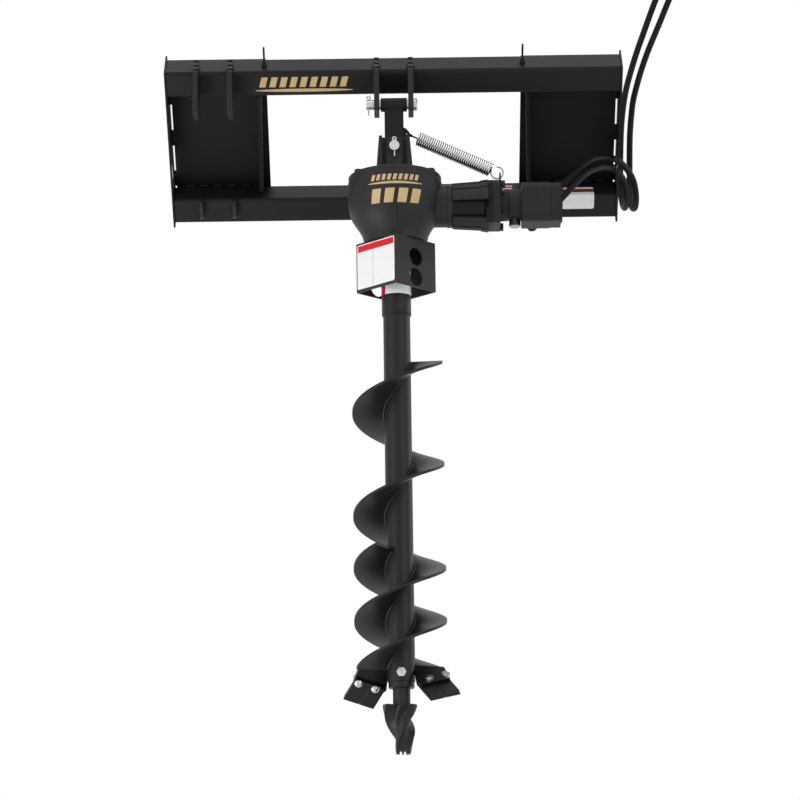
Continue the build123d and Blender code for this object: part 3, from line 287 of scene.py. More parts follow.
def hose_tube(name, path, start_length):
    """A tube with its length and angle stored in a UV map, for the wrap's helix."""
    piece = mesh_piece(name, [tube(path, HOSE_RADIUS, HOSE_SIDES)])
    along = start_length + lengths_along(path)
    mesh = piece.data
    corner = np.zeros(len(mesh.loops), np.int32)
    mesh.loops.foreach_get("vertex_index", corner)
    u = (corner % HOSE_SIDES) / HOSE_SIDES
    v = along[corner // HOSE_SIDES]
    quads = np.arange(len(corner)) < (len(path) - 1) * HOSE_SIDES * 4
    right_corner = np.arange(len(corner)) % 4 % 3 != 0
    u = np.where(quads & right_corner & (u == 0), 1.0, u)
    layer = mesh.uv_layers.new(name="wrap")
    layer.data.foreach_set("uv", np.stack([u, v], -1).astype(np.float32).ravel())
    return piece


hose_pieces = []
for word, route in (("pressure", PRESSURE_ROUTE), ("return", RETURN_ROUTE)):
    line = spline_points(route)
    split = int(np.argmax(line[:, 0] > HOSE_SPLIT_X))
    near, far = line[:split + 1], line[split:]
    near_piece = hose_tube(f"{word}_hose_by_motor", near, 0.0)
    far_piece = hose_tube(f"{word}_hose_to_loader", far, line_length(near))
    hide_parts(f"{word}_hose")
    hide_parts(f"{word}_hose")
    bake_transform(near_piece)
    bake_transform(far_piece)
    hose_pieces += [near_piece, far_piece]
    print(word, "hose", round(line_length(line), 3), "m")

# %% [markdown]
# ## Writing a finish
# A finish is a material made of nodes. `Wire` stands for a number on its way through them. The
# usual signs work on it, so `0.4 + 0.2 * cloud` adds the Math nodes that say so.

# %% Shader helpers


class Wire:
    """A number on its way through nodes."""

    def __init__(self, nodes, socket):
        self.nodes = nodes
        self.socket = socket

    def __add__(self, other):
        return self.nodes.maths("ADD", self, other)

    def __sub__(self, other):
        return self.nodes.maths("SUBTRACT", self, other)

    def __rsub__(self, other):
        return self.nodes.maths("SUBTRACT", other, self)

    def __mul__(self, other):
        return self.nodes.maths("MULTIPLY", self, other)

    def __truediv__(self, other):
        return self.nodes.maths("DIVIDE", self, other)

    __radd__ = __add__
    __rmul__ = __mul__


class Nodes:
    """Short ways to add nodes to a tree."""

    def __init__(self, tree):
        self.tree = tree

    def node(self, kind, settings=None, inputs=None, out=0):
        """Adds a node: its settings first, then the values or links of its sockets."""
        made = self.tree.nodes.new(kind)
        for key, value in (settings or {}).items():
            setattr(made, key, value)
        for key, value in (inputs or {}).items():
            self.feed(made.inputs[key], value)
        return Wire(self, made.outputs[out])

    def feed(self, socket, value):
        if isinstance(value, Wire):
            self.tree.links.new(value.socket, socket)
        else:
            socket.default_value = value

    def maths(self, operation, *values):
        return self.node("ShaderNodeMath", {"operation": operation}, dict(enumerate(values)))

    def vectors(self, operation, *values, out="Vector"):
        inputs = dict(enumerate(values))
        return self.node("ShaderNodeVectorMath", {"operation": operation}, inputs, out)

    def above(self, value, level):
        return self.maths("GREATER_THAN", value, level)

    def size_of(self, value):
        return self.maths("ABSOLUTE", value)

    def ramp(self, value, *stops):
        """Greys between stops, each a position and a level."""
        made = self.node("ShaderNodeValToRGB", {}, {"Fac": value})
        elements = made.socket.node.color_ramp.elements
        while len(elements) < len(stops):
            elements.new(0.5)
        for element, (position, level) in zip(elements, stops):
            element.position = position
            element.color = rgb(level)
        return made

    def mix(self, factor, first, second):
        """A colour between two, which are inputs 6 and 7 of the Mix node."""
        inputs = {0: factor, 6: first, 7: second}
        return self.node("ShaderNodeMix", {"data_type": "RGBA"}, inputs, 2)

    def seen(self):
        """1 for what the camera sees, also in a reflection or through a surface, else 0."""
        direct, mirrored, through = (self.node("ShaderNodeLightPath", out=f"Is {kind} Ray")
                                     for kind in ("Camera", "Glossy", "Transmission"))
        return direct + mirrored + through


class Finish(Nodes):
    """A material with one Principled shader, and short ways to feed it."""

    def __init__(self, name):
        self.material = bpy.data.materials.new(name)
        self.material.use_nodes = True
        super().__init__(self.material.node_tree)
        self.tree.nodes.clear()
        self.output = self.tree.nodes.new("ShaderNodeOutputMaterial")
        self.shader = self.tree.nodes.new("ShaderNodeBsdfPrincipled")
        self.tree.links.new(self.shader.outputs[0], self.output.inputs["Surface"])
        self.place = self.node("ShaderNodeTexCoord", out="Object")

    def set(self, **inputs):
        for key, value in inputs.items():
            label = key.replace("_", " ").title().replace("Ior", "IOR")
            self.feed(self.shader.inputs[label], value)
        return self

    def noise(self, scale, detail=2.0, roughness=0.5, stretch=None):
        place = self.place
        if stretch:
            place = self.node("ShaderNodeMapping", {}, {"Vector": place, "Scale": stretch})
        return self.node("ShaderNodeTexNoise", {}, {
            "Vector": place, "Scale": scale, "Detail": detail, "Roughness": roughness})

    def clouds(self, scale):
        return self.ramp(self.noise(scale, 4, 0.6), (0.3, 0.0), (0.75, 1.0))

    def along(self, direction, point=(0, 0, 0)):
        """How far each point lies from `point` in one direction, in metres."""
        away = self.vectors("SUBTRACT", self.place, tuple(point))
        return self.vectors("DOT_PRODUCT", away, tuple(direction), out="Value")

    def bump(self, height, distance, strength=1.0, normal=None):
        inputs = {"Height": height, "Distance": distance, "Strength": strength}
        if normal is not None:
            inputs["Normal"] = normal
        return self.node("ShaderNodeBump", {}, inputs)

    def rounded(self, radius):
        """The normal as if each sharp edge were rounded."""
        return self.node("ShaderNodeBevel", {"samples": 4}, {"Radius": radius})

    def turn_of(self, normal):
        """How strongly a rounded normal turns from the flat one, from 0 to 1."""
        flat = self.node("ShaderNodeNewGeometry", out="Normal")
        return 1.0 - self.vectors("DOT_PRODUCT", normal, flat, out="Value")


def rgb(red, green=None, blue=None):
    return (red, red if green is None else green, red if blue is None else blue, 1.0)


# %% [markdown]
# ## Black powder coat
# Powder is sprayed on dry and baked, so it has a satin gloss and a fine orange peel of about 2 mm.
# Its edges are a little thinner and catch the light; their lighter colour is partly wear and partly
# a painted highlight. Handling leaves faint cloudy marks.

# %% Powder coat
# Heights along the frame between which the plates' painted shade fades in.
PAINTED_SHADE_HEIGHTS = (-0.19, 0.14)


def powder_coat(name, tone, roughness=0.44, gloss=0.22, painted_shade=None):
    """Satin black. With a share given for painted shade, its tone falls to that share down the leaning
    frame.
    """
    finish = Finish(name)
    normal = finish.rounded(0.003)
    cloud = finish.clouds(6)
    speck = finish.ramp(finish.noise(900, 2), (0.62, 0.0), (0.72, 1.0))
    # Rounded edges get a lighter colour: partly wear, partly a painted highlight.
    edge_wear_and_sheen = finish.turn_of(normal) * (0.7 + 0.6 * finish.noise(60, 3))
    edge_wear_and_highlight = finish.ramp(edge_wear_and_sheen, (0.1, 0.0), (0.6, 1.0))
    base = finish.mix(cloud, rgb(tone * 0.85), rgb(tone * 1.2, tone * 1.2, tone * 1.22))
    # Painted shade: the tone darkens towards the lower part of the frame.
    if painted_shade:
        share = finish.node("ShaderNodeMapRange", {}, {
            "Value": finish.along(FRAME_UP), "From Min": PAINTED_SHADE_HEIGHTS[0], "From Max": PAINTED_SHADE_HEIGHTS[1]})
        base = finish.mix(share, rgb(tone * painted_shade), base)
    base = finish.mix(speck * 0.2, base, rgb(tone * 2.4))
    base = finish.mix(edge_wear_and_highlight * 0.35, base, rgb(tone * 2.6))
    orange_peel = finish.noise(480, 2, 0.55)
    return finish.set(base_color=base, specular_ior_level=gloss,
                      roughness=roughness - 0.05 * edge_wear_and_highlight + 0.08 * cloud,
                      normal=finish.bump(orange_peel, 0.00004, 1.0, normal)).material


coat = powder_coat("black_powder_coat", tone=0.0078, gloss=0.18)
# A lighter copy of the black coat: painted light for the ears and lugs, whose front edges and tips are
# lit.
ear_coat_painted_light = powder_coat("ear_coat_painted_light", tone=0.017)
guard_coat = powder_coat("guard_coat", tone=0.028)
# The hitch plates carry painted shade, darker towards their foot.
plate_coat = powder_coat("hitch_plate_coat", tone=0.0145, roughness=0.5, gloss=0.09, painted_shade=0.22)
tube_coat = powder_coat("auger_black_paint", tone=0.0095, roughness=0.38, gloss=0.26)
blade_coat = powder_coat("blade_paint", tone=0.0065, roughness=0.36, gloss=0.24)
# A darker copy of the coat: painted shade for the brackets under the flight.
bracket_coat_painted_shade = powder_coat("bracket_paint_painted_shade", tone=0.0035, roughness=0.3, gloss=0.2)

# %% [markdown]
# ## Painted casting
# The gearbox, cover and motor are sand cast, so under the same paint lies a coarser, sandy skin.

# %% Casting paint
MOTOR_JOINTS = (0.3565, 0.4080, 0.4215)
JOINT_HALF = 0.0008
JOINT_TONE = 0.0006


def painted_casting(name, tone=0.012, grain=0.0001, gloss=0.27, joints=()):
    """Sandy black paint. `joints` are places along X where castings meet in a thin dark line."""
    finish = Finish(name)
    normal = finish.rounded(0.0022)
    sand = finish.noise(260, 5, 0.6)
    dimple = finish.noise(38, 3, 0.5)
    # Rounded edges get a lighter colour: partly wear, partly a painted highlight.
    edge_wear_and_sheen = finish.turn_of(normal) * (0.6 + 0.8 * finish.noise(90, 3))
    edge_wear_and_highlight = finish.ramp(edge_wear_and_sheen, (0.06, 0.0), (0.5, 1.0))
    base = finish.mix(finish.clouds(9), rgb(tone * 0.85), rgb(tone * 1.25))
    base = finish.mix(edge_wear_and_highlight * 0.35, base, rgb(tone * 2.6))
    for place in joints:
        groove = finish.above(JOINT_HALF, finish.size_of(finish.along(RIGHT) - place))
        base = finish.mix(groove, base, rgb(JOINT_TONE))
    skin = finish.bump(sand, grain, 0.9, finish.bump(dimple, 0.0006, 0.5, normal))
    return finish.set(base_color=base, specular_ior_level=gloss, normal=skin,
                      roughness=0.46 + 0.1 * sand - 0.04 * edge_wear_and_highlight).material


casting = painted_casting("painted_casting")
motor_paint = painted_casting("motor_paint", 0.010, 0.00005, 0.24, MOTOR_JOINTS)
shaded_casting = painted_casting("shaded_casting", tone=0.0075, gloss=0.16)

# %% [markdown]
# ## Plated and bare steel
# Zinc plate is bright with a faint mottled bloom. Machined steel shows fine tool marks, and gears
# are ground and oily. Each is a metal whose roughness changes, with a shallow grain.

# %% Metals
TOOL_MARK = 0.00002


def metal(name, colour, tint, roughness, grain_scale, stretch=None, mottle=30):
    """Clouds of two colours, with tool marks that `stretch` can draw out along one axis."""
    finish = Finish(name)
    bloom = finish.noise(mottle, 4, 0.6)
    fine = finish.noise(grain_scale, 3, 0.55, stretch)
    return finish.set(base_color=finish.mix(bloom, rgb(*colour), rgb(*tint)), metallic=1.0,
                      roughness=roughness + 0.16 * bloom + 0.08 * fine,
                      normal=finish.bump(fine, TOOL_MARK, 0.8, finish.rounded(0.0007))).material


zinc = metal("zinc_plate", (0.66, 0.66, 0.65), (0.52, 0.53, 0.54), 0.22, 700)
# Strong clouds from white to near black on the bolt heads: painted glints and painted dark
# reflections.
bolt_zinc_painted_glints = metal("bright_bolts", (1.0, 1.0, 1.0), (0.04, 0.04, 0.04), 0.12, 700, mottle=105)
machined = metal("machined_steel", (0.50, 0.50, 0.50), (0.36, 0.36, 0.37), 0.28, 1600, (1, 1, 0.05))
gear_steel = metal("oiled_gear_steel", (0.42, 0.41, 0.39), (0.30, 0.29, 0.27), 0.24, 1200)
bronze = metal("bearing_bronze", (0.62, 0.42, 0.16), (0.48, 0.31, 0.11), 0.26, 900)
PLUG_BRIGHT_BELOW = 0.2005
PAINT_EDGE = 0.004


def plug_finish():
    """A zinc plug, sprayed black with the motor down to its rounded end."""
    finish = Finish("half_painted_plug")
    past_paint = (finish.along(-UP, SWING) - PLUG_BRIGHT_BELOW) / PAINT_EDGE
    bare = finish.ramp(past_paint + 0.3 * finish.noise(120, 3), (0.3, 0.0), (0.9, 1.0))
    fine = finish.noise(600, 3)
    return finish.set(base_color=finish.mix(bare, rgb(0.012), rgb(0.40)), metallic=bare,
                      roughness=0.36 + 0.1 * fine,
                      normal=finish.bump(fine, TOOL_MARK, 0.8, finish.rounded(0.001))).material


plug_zinc = plug_finish()

# %% [markdown]
# ## Rubber
# The hose cover was wrapped in cloth while it cured, which leaves a fine spiral ridge. The seals
# are plain moulded rubber.

# %% Rubbers
WRAP_PITCH = 0.028


def hose_cover():
    """Matt black with dust. The wrap's ridge is where length / pitch + share of a turn is whole."""
    finish = Finish("wrapped_hose_rubber")
    uv = finish.node("ShaderNodeUVMap", {"uv_map": "wrap"})
    round_share, along = (finish.node("ShaderNodeSeparateXYZ", {}, {0: uv}, out) for out in "XY")
    turn = finish.maths("FRACT", along / WRAP_PITCH + round_share)
    ridge = finish.ramp(turn, (0.0, 0.0), (0.06, 1.0), (0.14, 0.15), (1.0, 0.0))
    cloth = finish.noise(1400, 2)
    dust = finish.ramp(finish.noise(22, 4, 0.65), (0.4, 0.0), (0.8, 1.0))
    base = finish.mix(dust * 0.6, rgb(0.006), rgb(0.013, 0.013, 0.012))
    relief = finish.bump(cloth, 0.00012, 0.7, finish.bump(ridge, 0.0004, 0.6))
    return finish.set(base_color=base, specular_ior_level=0.12, roughness=0.52 + 0.15 * dust,
                      normal=relief).material


def seal_rubber():
    finish = Finish("seal_rubber")
    grain = finish.noise(600, 3)
    return finish.set(base_color=finish.mix(grain, rgb(0.012), rgb(0.024)),
                      roughness=0.6 + 0.1 * grain,
                      normal=finish.bump(grain, 0.00006, 0.6)).material


hose_rubber = hose_cover()
rubber = seal_rubber()
for piece in hose_pieces:
    piece.data.materials.append(hose_rubber)

# %% [markdown]
# ## Finishes for the solids
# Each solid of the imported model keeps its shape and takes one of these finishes.

# %% Dress the solids
NODE_FINISHES = {
    coat: ["top_beam", "bottom_beam", "left_end_plate", "right_end_plate", "hose_hooks",
           "link_tube", "link_bar", "link_spring_tab", "spring_anchor"],
    ear_coat_painted_light: ["centre_ear_left", "centre_ear_right", "side_ear_left", "side_ear_right",
               "lower_lugs"],
    guard_coat: ["guard"],
    plate_coat: ["left_hitch_plate", "right_hitch_plate", "left_inner_rib", "right_inner_rib"],
    tube_coat: ["drive_hub", "auger_tube", "bit_socket", "main_flight", "second_flight",
                "pilot_bit"],
    blade_coat: ["right_blade", "left_blade"],
    bracket_coat_painted_shade: ["tooth_brackets"],
    casting: ["gearbox_housing", "gearbox_cover", "cover_bolts"],
    shaded_casting: ["motor_adaptor"],
    motor_paint: ["motor_front_housing", "motor_gear_ring", "motor_end_cap", "hose_fittings",
                  "motor_bolts"],
    zinc: ["hitch_pin", "hitch_pin_cotter", "hose_couplers", "swing_pin", "swing_pin_cotter",
           "guard_bolts", "tension_spring"],
    bolt_zinc_painted_glints: ["hub_bolts", "blade_bolts", "bit_bolt"],
    plug_zinc: ["port_plug"],
    machined: ["output_shaft", "motor_shaft", "shaft_coupling"],
    gear_steel: ["crown_gear", "pinion_shaft", "output_bearings", "pinion_bearings"],
    bronze: ["link_bushings"],
    rubber: ["output_seal", "input_seal", "pressure_hose", "return_hose"],
}
dressed = set()
for material, names in NODE_FINISHES.items():
    for name in names:
        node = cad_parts[name]
        node.data.materials.clear()
        node.data.materials.append(material)
        dressed.add(name)
print("left undressed", sorted(set(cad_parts) - dressed))

# %% [markdown]
# ## The tension spring
# The spring is a helix of round wire, held slightly open. Its left end is a small hook on the
# link's tab and its right end an open ring through the anchor's hole. It runs between the two.

# %% Spring
SPRING_LEFT = hung(0.0573, 0.0, -0.0341)
SPRING_RIGHT = hung(0.2441, 0.0, 0.0537)
SPRING_RADIUS = 0.0182
WIRE = 0.0042
COIL_STEP = 0.0057
RING_RADIUS = 0.0155
RING_END = 0.66 * math.pi
HOOK_RADIUS = 0.0065
HOOK_REACH = 0.0195
HOOK_END = 0.9 * math.pi
SHANK = (-0.013, 0.004)
# Painted light and shade on the wire by height in the coil, from its foot: dark low down, bright above
# the middle and a dark line at the top.
PAINTED_WIRE_LIGHT = ((0.0, 0.45), (0.09, 0.3), (0.15, 0.0), (0.24, 0.04), (0.34, 0.35), (0.48, 0.8),
              (0.62, 1.0), (0.86, 1.0), (0.94, 0.3), (1.0, 0.1))
# The tone of the painted shade between the coils and underneath.
WIRE_SHADE_TONE = 0.012
RING_TONE = 0.4
spring_axis = unit(SPRING_RIGHT - SPRING_LEFT)
spring_length = float(np.linalg.norm(SPRING_RIGHT - SPRING_LEFT))
spring_side, spring_up = across(spring_axis)


def arc(centre, radius, start, end, first, second, count):
    """centre + r·(cos a·first + sin a·second) for a from start to end."""
    angle = np.linspace(start, end, count)[:, None]
    return centre + radius * (np.cos(angle) * first + np.sin(angle) * second)


def coil_path():
    """start + s·axis + R·(cos a·u + sin a·v), where a grows by a full turn per step of coil."""
    turns = (spring_length - WIRE) / COIL_STEP
    share = np.linspace(0, 1, int(turns * 18))[:, None]
    angle = 2 * math.pi * turns * share
    along = WIRE / 2 + share * (spring_length - WIRE)
    radial = np.cos(angle) * spring_side + np.sin(angle) * spring_up
    return SPRING_LEFT + along * spring_axis + (SPRING_RADIUS - WIRE / 2) * radial


def wound_spring():
    """The coils, the ring in the upright plane, the hook in the level one and the hook's shank."""
    coil = tube(coil_path(), WIRE / 2, 10, spring_axis)
    below = np.cross(spring_axis, BACK)
    ring = arc(SPRING_RIGHT + RING_RADIUS * spring_axis, RING_RADIUS, -math.pi, RING_END,
               spring_axis, below, 60)
    hook = arc(SPRING_LEFT - HOOK_REACH * spring_axis, HOOK_RADIUS, -HOOK_END, HOOK_END,
               -spring_axis, BACK, 40)
    shank = SPRING_LEFT + np.linspace(*SHANK, 12)[:, None] * spring_axis
    guides = ((ring, BACK), (hook, below), (shank, below))
    ends = [tube(path, WIRE / 2, 12, guide) for path, guide in guides]
    return mesh_piece("wound_spring", [coil, *ends])


def wire_finish():
    """Zinc with a painted highlight on each coil's crest and painted shade between the coils and
    underneath.
    A table of tones gives the painted light at each share of the coils' height, from their foot."""
    finish = Finish("bright_spring_wire")
    above, beside = finish.along(spring_up, SPRING_LEFT), finish.along(spring_side, SPRING_LEFT)
    radius = finish.maths("SQRT", above * above + beside * beside)
    # Painted highlight on each coil's outer crest, painted shade towards its inside.
    crest_highlight = finish.ramp((radius - (SPRING_RADIUS - WIRE)) / WIRE, (0.54, 0.0), (0.84, 1.0))
    painted_light_by_height = finish.ramp((above / SPRING_RADIUS + 1.0) * 0.5, *PAINTED_WIRE_LIGHT)
    bloom = finish.noise(160, 3, 0.6)
    bright = finish.mix(bloom, rgb(0.9), rgb(1.0))
    on_ring = finish.above(finish.along(spring_axis, SPRING_RIGHT), 0.001)
    base = finish.mix(on_ring, finish.mix(crest_highlight * painted_light_by_height, rgb(WIRE_SHADE_TONE), bright), rgb(RING_TONE))
    return finish.set(base_color=base, metallic=1.0, roughness=0.2 + 0.12 * bloom,
                      normal=finish.bump(bloom, TOOL_MARK, 0.6)).material


spring = wound_spring()
spring.data.materials.append(wire_finish())
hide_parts("tension_spring")
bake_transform(spring)
print("spring", len(spring.data.polygons), "faces")

# %% [markdown]
# ## Ribs of the motor adaptor
# The casting between the gearbox's neck and the motor's flange has four broad channels, each with a
# raised rim along both edges. It is drawn in polar form about the shaft: at angle a its radius is
# floor(x) in a channel, face(x) between two channels and face(x) + rim beside one.

# %% Adaptor ribs
INPUT_DROP = 0.1474
shaft_line = hung(0.0, 0.0, INPUT_DROP)
CHANNEL_CENTRE = math.radians(-22.5)
CHANNEL_HALF = 20.5
RIM_END = 36.0
RIM_HEIGHT = 0.0028
RIB_STATIONS = (0.1425, 0.1435, 0.1445, 0.178, 0.2138, 0.2152, 0.2335)
FACE_LINE = ((0.1425, 0.1437, 0.2140, 0.2150, 0.2335), (0.0540, 0.0572, 0.0620, 0.0640, 0.0668))
FLOOR_LINE = ((0.1425, 0.1890, 0.2335), (0.0534, 0.0556, 0.0594))
FLOOR_LIFT = 0.0005
BURIED = 0.003
POCKET = (0.2210, 0.2230)
COLLAR = ((0.0520, 0.1295), (0.0541, 0.1305), (0.0546, 0.1315), (0.0546, 0.1420),
          (0.0541, 0.1430), (0.0505, 0.1435))


def face_radius(x):
    return np.interp(x, *FACE_LINE)


def floor_radius(x):
    return np.interp(x, *FLOOR_LINE)


def about_shaft(x, angle, radius):
    """(x, -r cos a, r sin a) about the shaft, with a = 0 towards the front and growing upwards."""
    x, angle, radius = np.broadcast_arrays(x, angle, radius)
    return shaft_line + np.stack([x, -radius * np.cos(angle), radius * np.sin(angle)], -1)


def quarter_angles(degrees, quarter):
    return CHANNEL_CENTRE + np.radians(np.asarray(degrees) + 90 * quarter)[None, :]


def rib_pair(quarter):
    """The raised part from one channel's edge to the next one's: a rim, the face and a rim. `lift`
    counts rim heights over the face, and None is the skirt that goes down into the solid."""
    edge, rim = CHANNEL_HALF, RIM_END
    side = [edge - 0.2, edge + 0.3, edge + 0.9, *np.linspace(edge + 2, rim - 1, 6), rim, rim + 0.4]
    lift = [None, -0.6, 1.0, *[1.0] * 6, 1.0, 0.0]
    middle = list(np.linspace(rim + 2, 88 - rim, 8))
    degrees = side + middle + [90 - turn for turn in reversed(side)]
    lifts = lift + [0.0] * len(middle) + lift[::-1]
    x = np.array(RIB_STATIONS)
    skirt = floor_radius(x) - BURIED
    face = face_radius(x)
    radius = np.stack([skirt if up is None else face + RIM_HEIGHT * up for up in lifts], 1)
    radius[0] = skirt[0]
    return about_shaft(x[:, None], quarter_angles(degrees, quarter), radius)


def channel_floor(quarter):
    x = np.linspace(RIB_STATIONS[0], RIB_STATIONS[-1], 12)[:, None]
    degrees = np.linspace(-CHANNEL_HALF, CHANNEL_HALF, 20)
    return about_shaft(x, quarter_angles(degrees, quarter), floor_radius(x) + FLOOR_LIFT)


def channel_finish():
    """Casting paint with painted shade: darker against both rims, and painted black in the pocket at
    the flange.
    """
    finish = Finish("channel_casting")
    sideways = (0, math.sin(CHANNEL_CENTRE), math.cos(CHANNEL_CENTRE))
    offset = finish.size_of(finish.along(sideways, shaft_line))
    shade = finish.ramp(offset / 0.02, (0.0, 0.0), (0.72, 0.15), (0.86, 1.0))
    into_pocket = (finish.along(RIGHT) - POCKET[0]) / (POCKET[1] - POCKET[0])
    # Painted shade: the recess at the flange turns black.
    painted_pocket_shade = finish.ramp(into_pocket, (0.0, 0.0), (1.0, 1.0))
    sand = finish.noise(260, 5, 0.6)
    dark = rgb(0.0016)
    base = finish.mix(painted_pocket_shade, finish.mix(shade, rgb(0.0160), dark), dark)
    return finish.set(base_color=base, specular_ior_level=0.06, roughness=0.6 + 0.1 * sand,
                      normal=finish.bump(sand, 0.0001, 0.8)).material


mesh_piece("adaptor_ribs", [rib_pair(quarter) for quarter in range(4)], "gearbox",
           finish=casting)
mesh_piece("adaptor_channels", [channel_floor(quarter) for quarter in range(4)], "gearbox",
           finish=channel_finish())
mesh_piece("adaptor_collar", [turned(COLLAR, shaft_line, RIGHT, 72)], "gearbox",
           loop=True, finish=casting)

# %% [markdown]
# ## Welds
# A weld bead is a rope of overlapping puddles. Its radius swells and shrinks along the seam:
# r·(1 + 0.16·|sin(π s / 4.5 mm)|), where s is the length along it.

# %% Welds
PUDDLE = 0.0045
SWELL = 0.16
BEAD = 0.0026
BEAD_STEP = 0.0011
BEAD_TAPER = 0.003
BEAD_START = 0.35


def bead(path, guide, radius=BEAD):
    """A rope of puddles along the path, thinner towards both ends."""
    points, even = evenly(path, max(4, int(line_length(path) / BEAD_STEP)))
    ends = np.minimum(1.0, BEAD_START + np.minimum(even, even[-1] - even) / BEAD_TAPER)
    swell = radius * (1 + SWELL * np.abs(np.sin(math.pi * even / PUDDLE))) * ends
    return tube(points, swell, 8, guide)


# %% Seams of the frame
SEAM_FRONT = BEAM_FRONT - 0.0004
EAR_CENTRES = (-0.5028, -0.4162, -0.0433, 0.0433)
EAR_HALF = 0.0065
EAR_FRONT_SEAM = np.linspace(0.011, 0.0600, 4)
EAR_TOP_SEAM = np.linspace(-0.0695, -0.0480, 4)
LUG_CENTRES = (-0.5073, -0.4207)
LUG_HALF = 0.0045
LUG_SEAM = np.linspace(0.394, 0.425, 4)
PLATE_SEAM_BACK = -0.0105
PLATE_SEAMS_DOWN = (0.3806, 0.0732)
PLATE_SEAM = 0.024
PLATE_SEAM_STARTS = np.arange(0.345, 0.560, 0.0365)

frame_seams = []
for centre in EAR_CENTRES:
    for side in (-1, 1):
        x = centre + side * (EAR_HALF + BEAD * 0.4)
        frame_seams.append(bead(leant(x, SEAM_FRONT, EAR_FRONT_SEAM), RIGHT))
        frame_seams.append(bead(leant(x, EAR_TOP_SEAM, -0.0004), RIGHT))
for side in (-1, 1):
    for start in PLATE_SEAM_STARTS:
        seam_x = side * np.linspace(start, start + PLATE_SEAM, 4)
        for down in PLATE_SEAMS_DOWN:
            frame_seams.append(bead(leant(seam_x, PLATE_SEAM_BACK, down), UP))
for centre in LUG_CENTRES:
    for side in (-1, 1):
        x = centre + side * (LUG_HALF + BEAD * 0.4)
        frame_seams.append(bead(leant(x, SEAM_FRONT, LUG_SEAM), RIGHT))
mesh_piece("frame_welds", frame_seams, "frame", finish=coat)

# %% Seams of the auger
TUBE_RADIUS = 0.0337
FLIGHT_PITCH = 0.2608
FLIGHT_HALF = 0.00375
FLIGHTS = ((0.5541, -7.0, 2.93), (1.0260, 240.5, 1.12))
HUB_SEAM_DROP = 0.4300
HUB_BEAD = 0.0022


def flight_seam(start_drop, start_angle, turns, side):
    """A helix on the tube: the angle falls by a full turn for each pitch of drop."""
    share = np.linspace(0.004, 0.996, int(90 * turns))
    drop = start_drop + FLIGHT_PITCH * turns * share + side * (FLIGHT_HALF + BEAD * 0.5)
    angle = math.radians(start_angle) - 2 * math.pi * turns * share
    radius = TUBE_RADIUS + BEAD * 0.4
    return bead(hung(radius * np.cos(angle), radius * np.sin(angle), drop), UP, BEAD * 1.25)


auger_seams = [flight_seam(*flight, side) for side in (-1, 1) for flight in FLIGHTS]
ring_angle = np.linspace(0, 2 * math.pi, 90)
ring_x, ring_y = (TUBE_RADIUS + 0.0004) * np.array([np.cos(ring_angle), np.sin(ring_angle)])
auger_seams.append(bead(hung(ring_x, ring_y, HUB_SEAM_DROP), UP, HUB_BEAD))
mesh_piece("auger_welds", auger_seams, "auger", finish=tube_coat)

# %% [markdown]
# ## Panels
# All lettering is left off. Blank panels and plain stripes of the same colours and sizes take its
# place. A flat panel is a rounded rectangle, a fraction of a millimetre thick.

# %% Panel finishes
PANEL_THICK = 0.0004
DIAGONAL = math.sqrt(0.5)
GUARD_HALF = 0.0705
PANEL_DROP = 0.30675
PANEL_WIDTH, PANEL_HEIGHT = 0.131, 0.1145
PANEL_CORNER = 0.004
BAND_HEIGHT = 0.019
MARGIN = 0.0025
DIVIDER_SIDE, DIVIDER_HALF, DIVIDER_TOP = -0.010, 0.0007, 0.022
SLEEVE_RED_FROM = -0.0275
BEAM_BAND = (-0.0665, -0.0515)
TAG_BAND = (-0.0440, -0.0330)
RED = (0.66, 0.012, 0.025)
panel_right = np.array([DIAGONAL, -DIAGONAL, 0.0])
panel_out = np.array([-DIAGONAL, -DIAGONAL, 0.0])
panel_centre = hung(0.0, 0.0, PANEL_DROP) + GUARD_HALF * panel_out


def vinyl(name, colour_of):
    """Film in the colours that `colour_of` gives, under a satin lacquer with faint waves."""
    finish = Finish(name)
    wave = finish.noise(45, 3, 0.5)
    return finish.set(base_color=colour_of(finish, wave), specular_ior_level=0.2,
                      roughness=0.38 + 0.12 * wave, normal=finish.bump(wave, 0.0001, 0.4)).material


def within(finish, value, low, high):
    return finish.above(value, low) * finish.above(high, value)


def guard_print(finish, wave):
    """White, with a red band along the top and a thin grey line down from it."""
    up, side = finish.along(UP, panel_centre), finish.along(panel_right, panel_centre)
    top, reach = PANEL_HEIGHT / 2, PANEL_WIDTH / 2 - MARGIN
    band = within(finish, up, top - BAND_HEIGHT, top - MARGIN) * within(finish, side, -reach, reach)
    divider = finish.above(DIVIDER_HALF, finish.size_of(side - DIVIDER_SIDE))
    divider = divider * finish.above(top - DIVIDER_TOP, up)
    white = finish.mix(wave, rgb(0.80, 0.80, 0.795), rgb(0.85, 0.85, 0.845))
    return finish.mix(band, finish.mix(divider, white, rgb(0.38)), rgb(*RED))


def sleeve_print(finish, wave):
    """White at the left and red from there to the right. The white is made lighter as painted light,
    against the shade under the guard.
    """
    # Painted light: this white is lighter than the other panels' to offset the guard's shade.
    white = finish.mix(wave, rgb(0.92), rgb(0.98))
    return finish.mix(finish.above(SLEEVE_RED_FROM, finish.along(RIGHT, HITCH)), white, rgb(*RED))


def banded_print(band, dull, bright, colour):
    """White with a band across it, whose two edges are places along the frame's depth."""
    def colours(finish, wave):
        white = finish.mix(wave, rgb(dull), rgb(bright))
        return finish.mix(within(finish, finish.along(FRAME_BACK), *band), white, rgb(*colour))
    return colours


def gold(finish, wave):
    return finish.mix(wave, rgb(0.50, 0.36, 0.17), rgb(0.62, 0.46, 0.24))


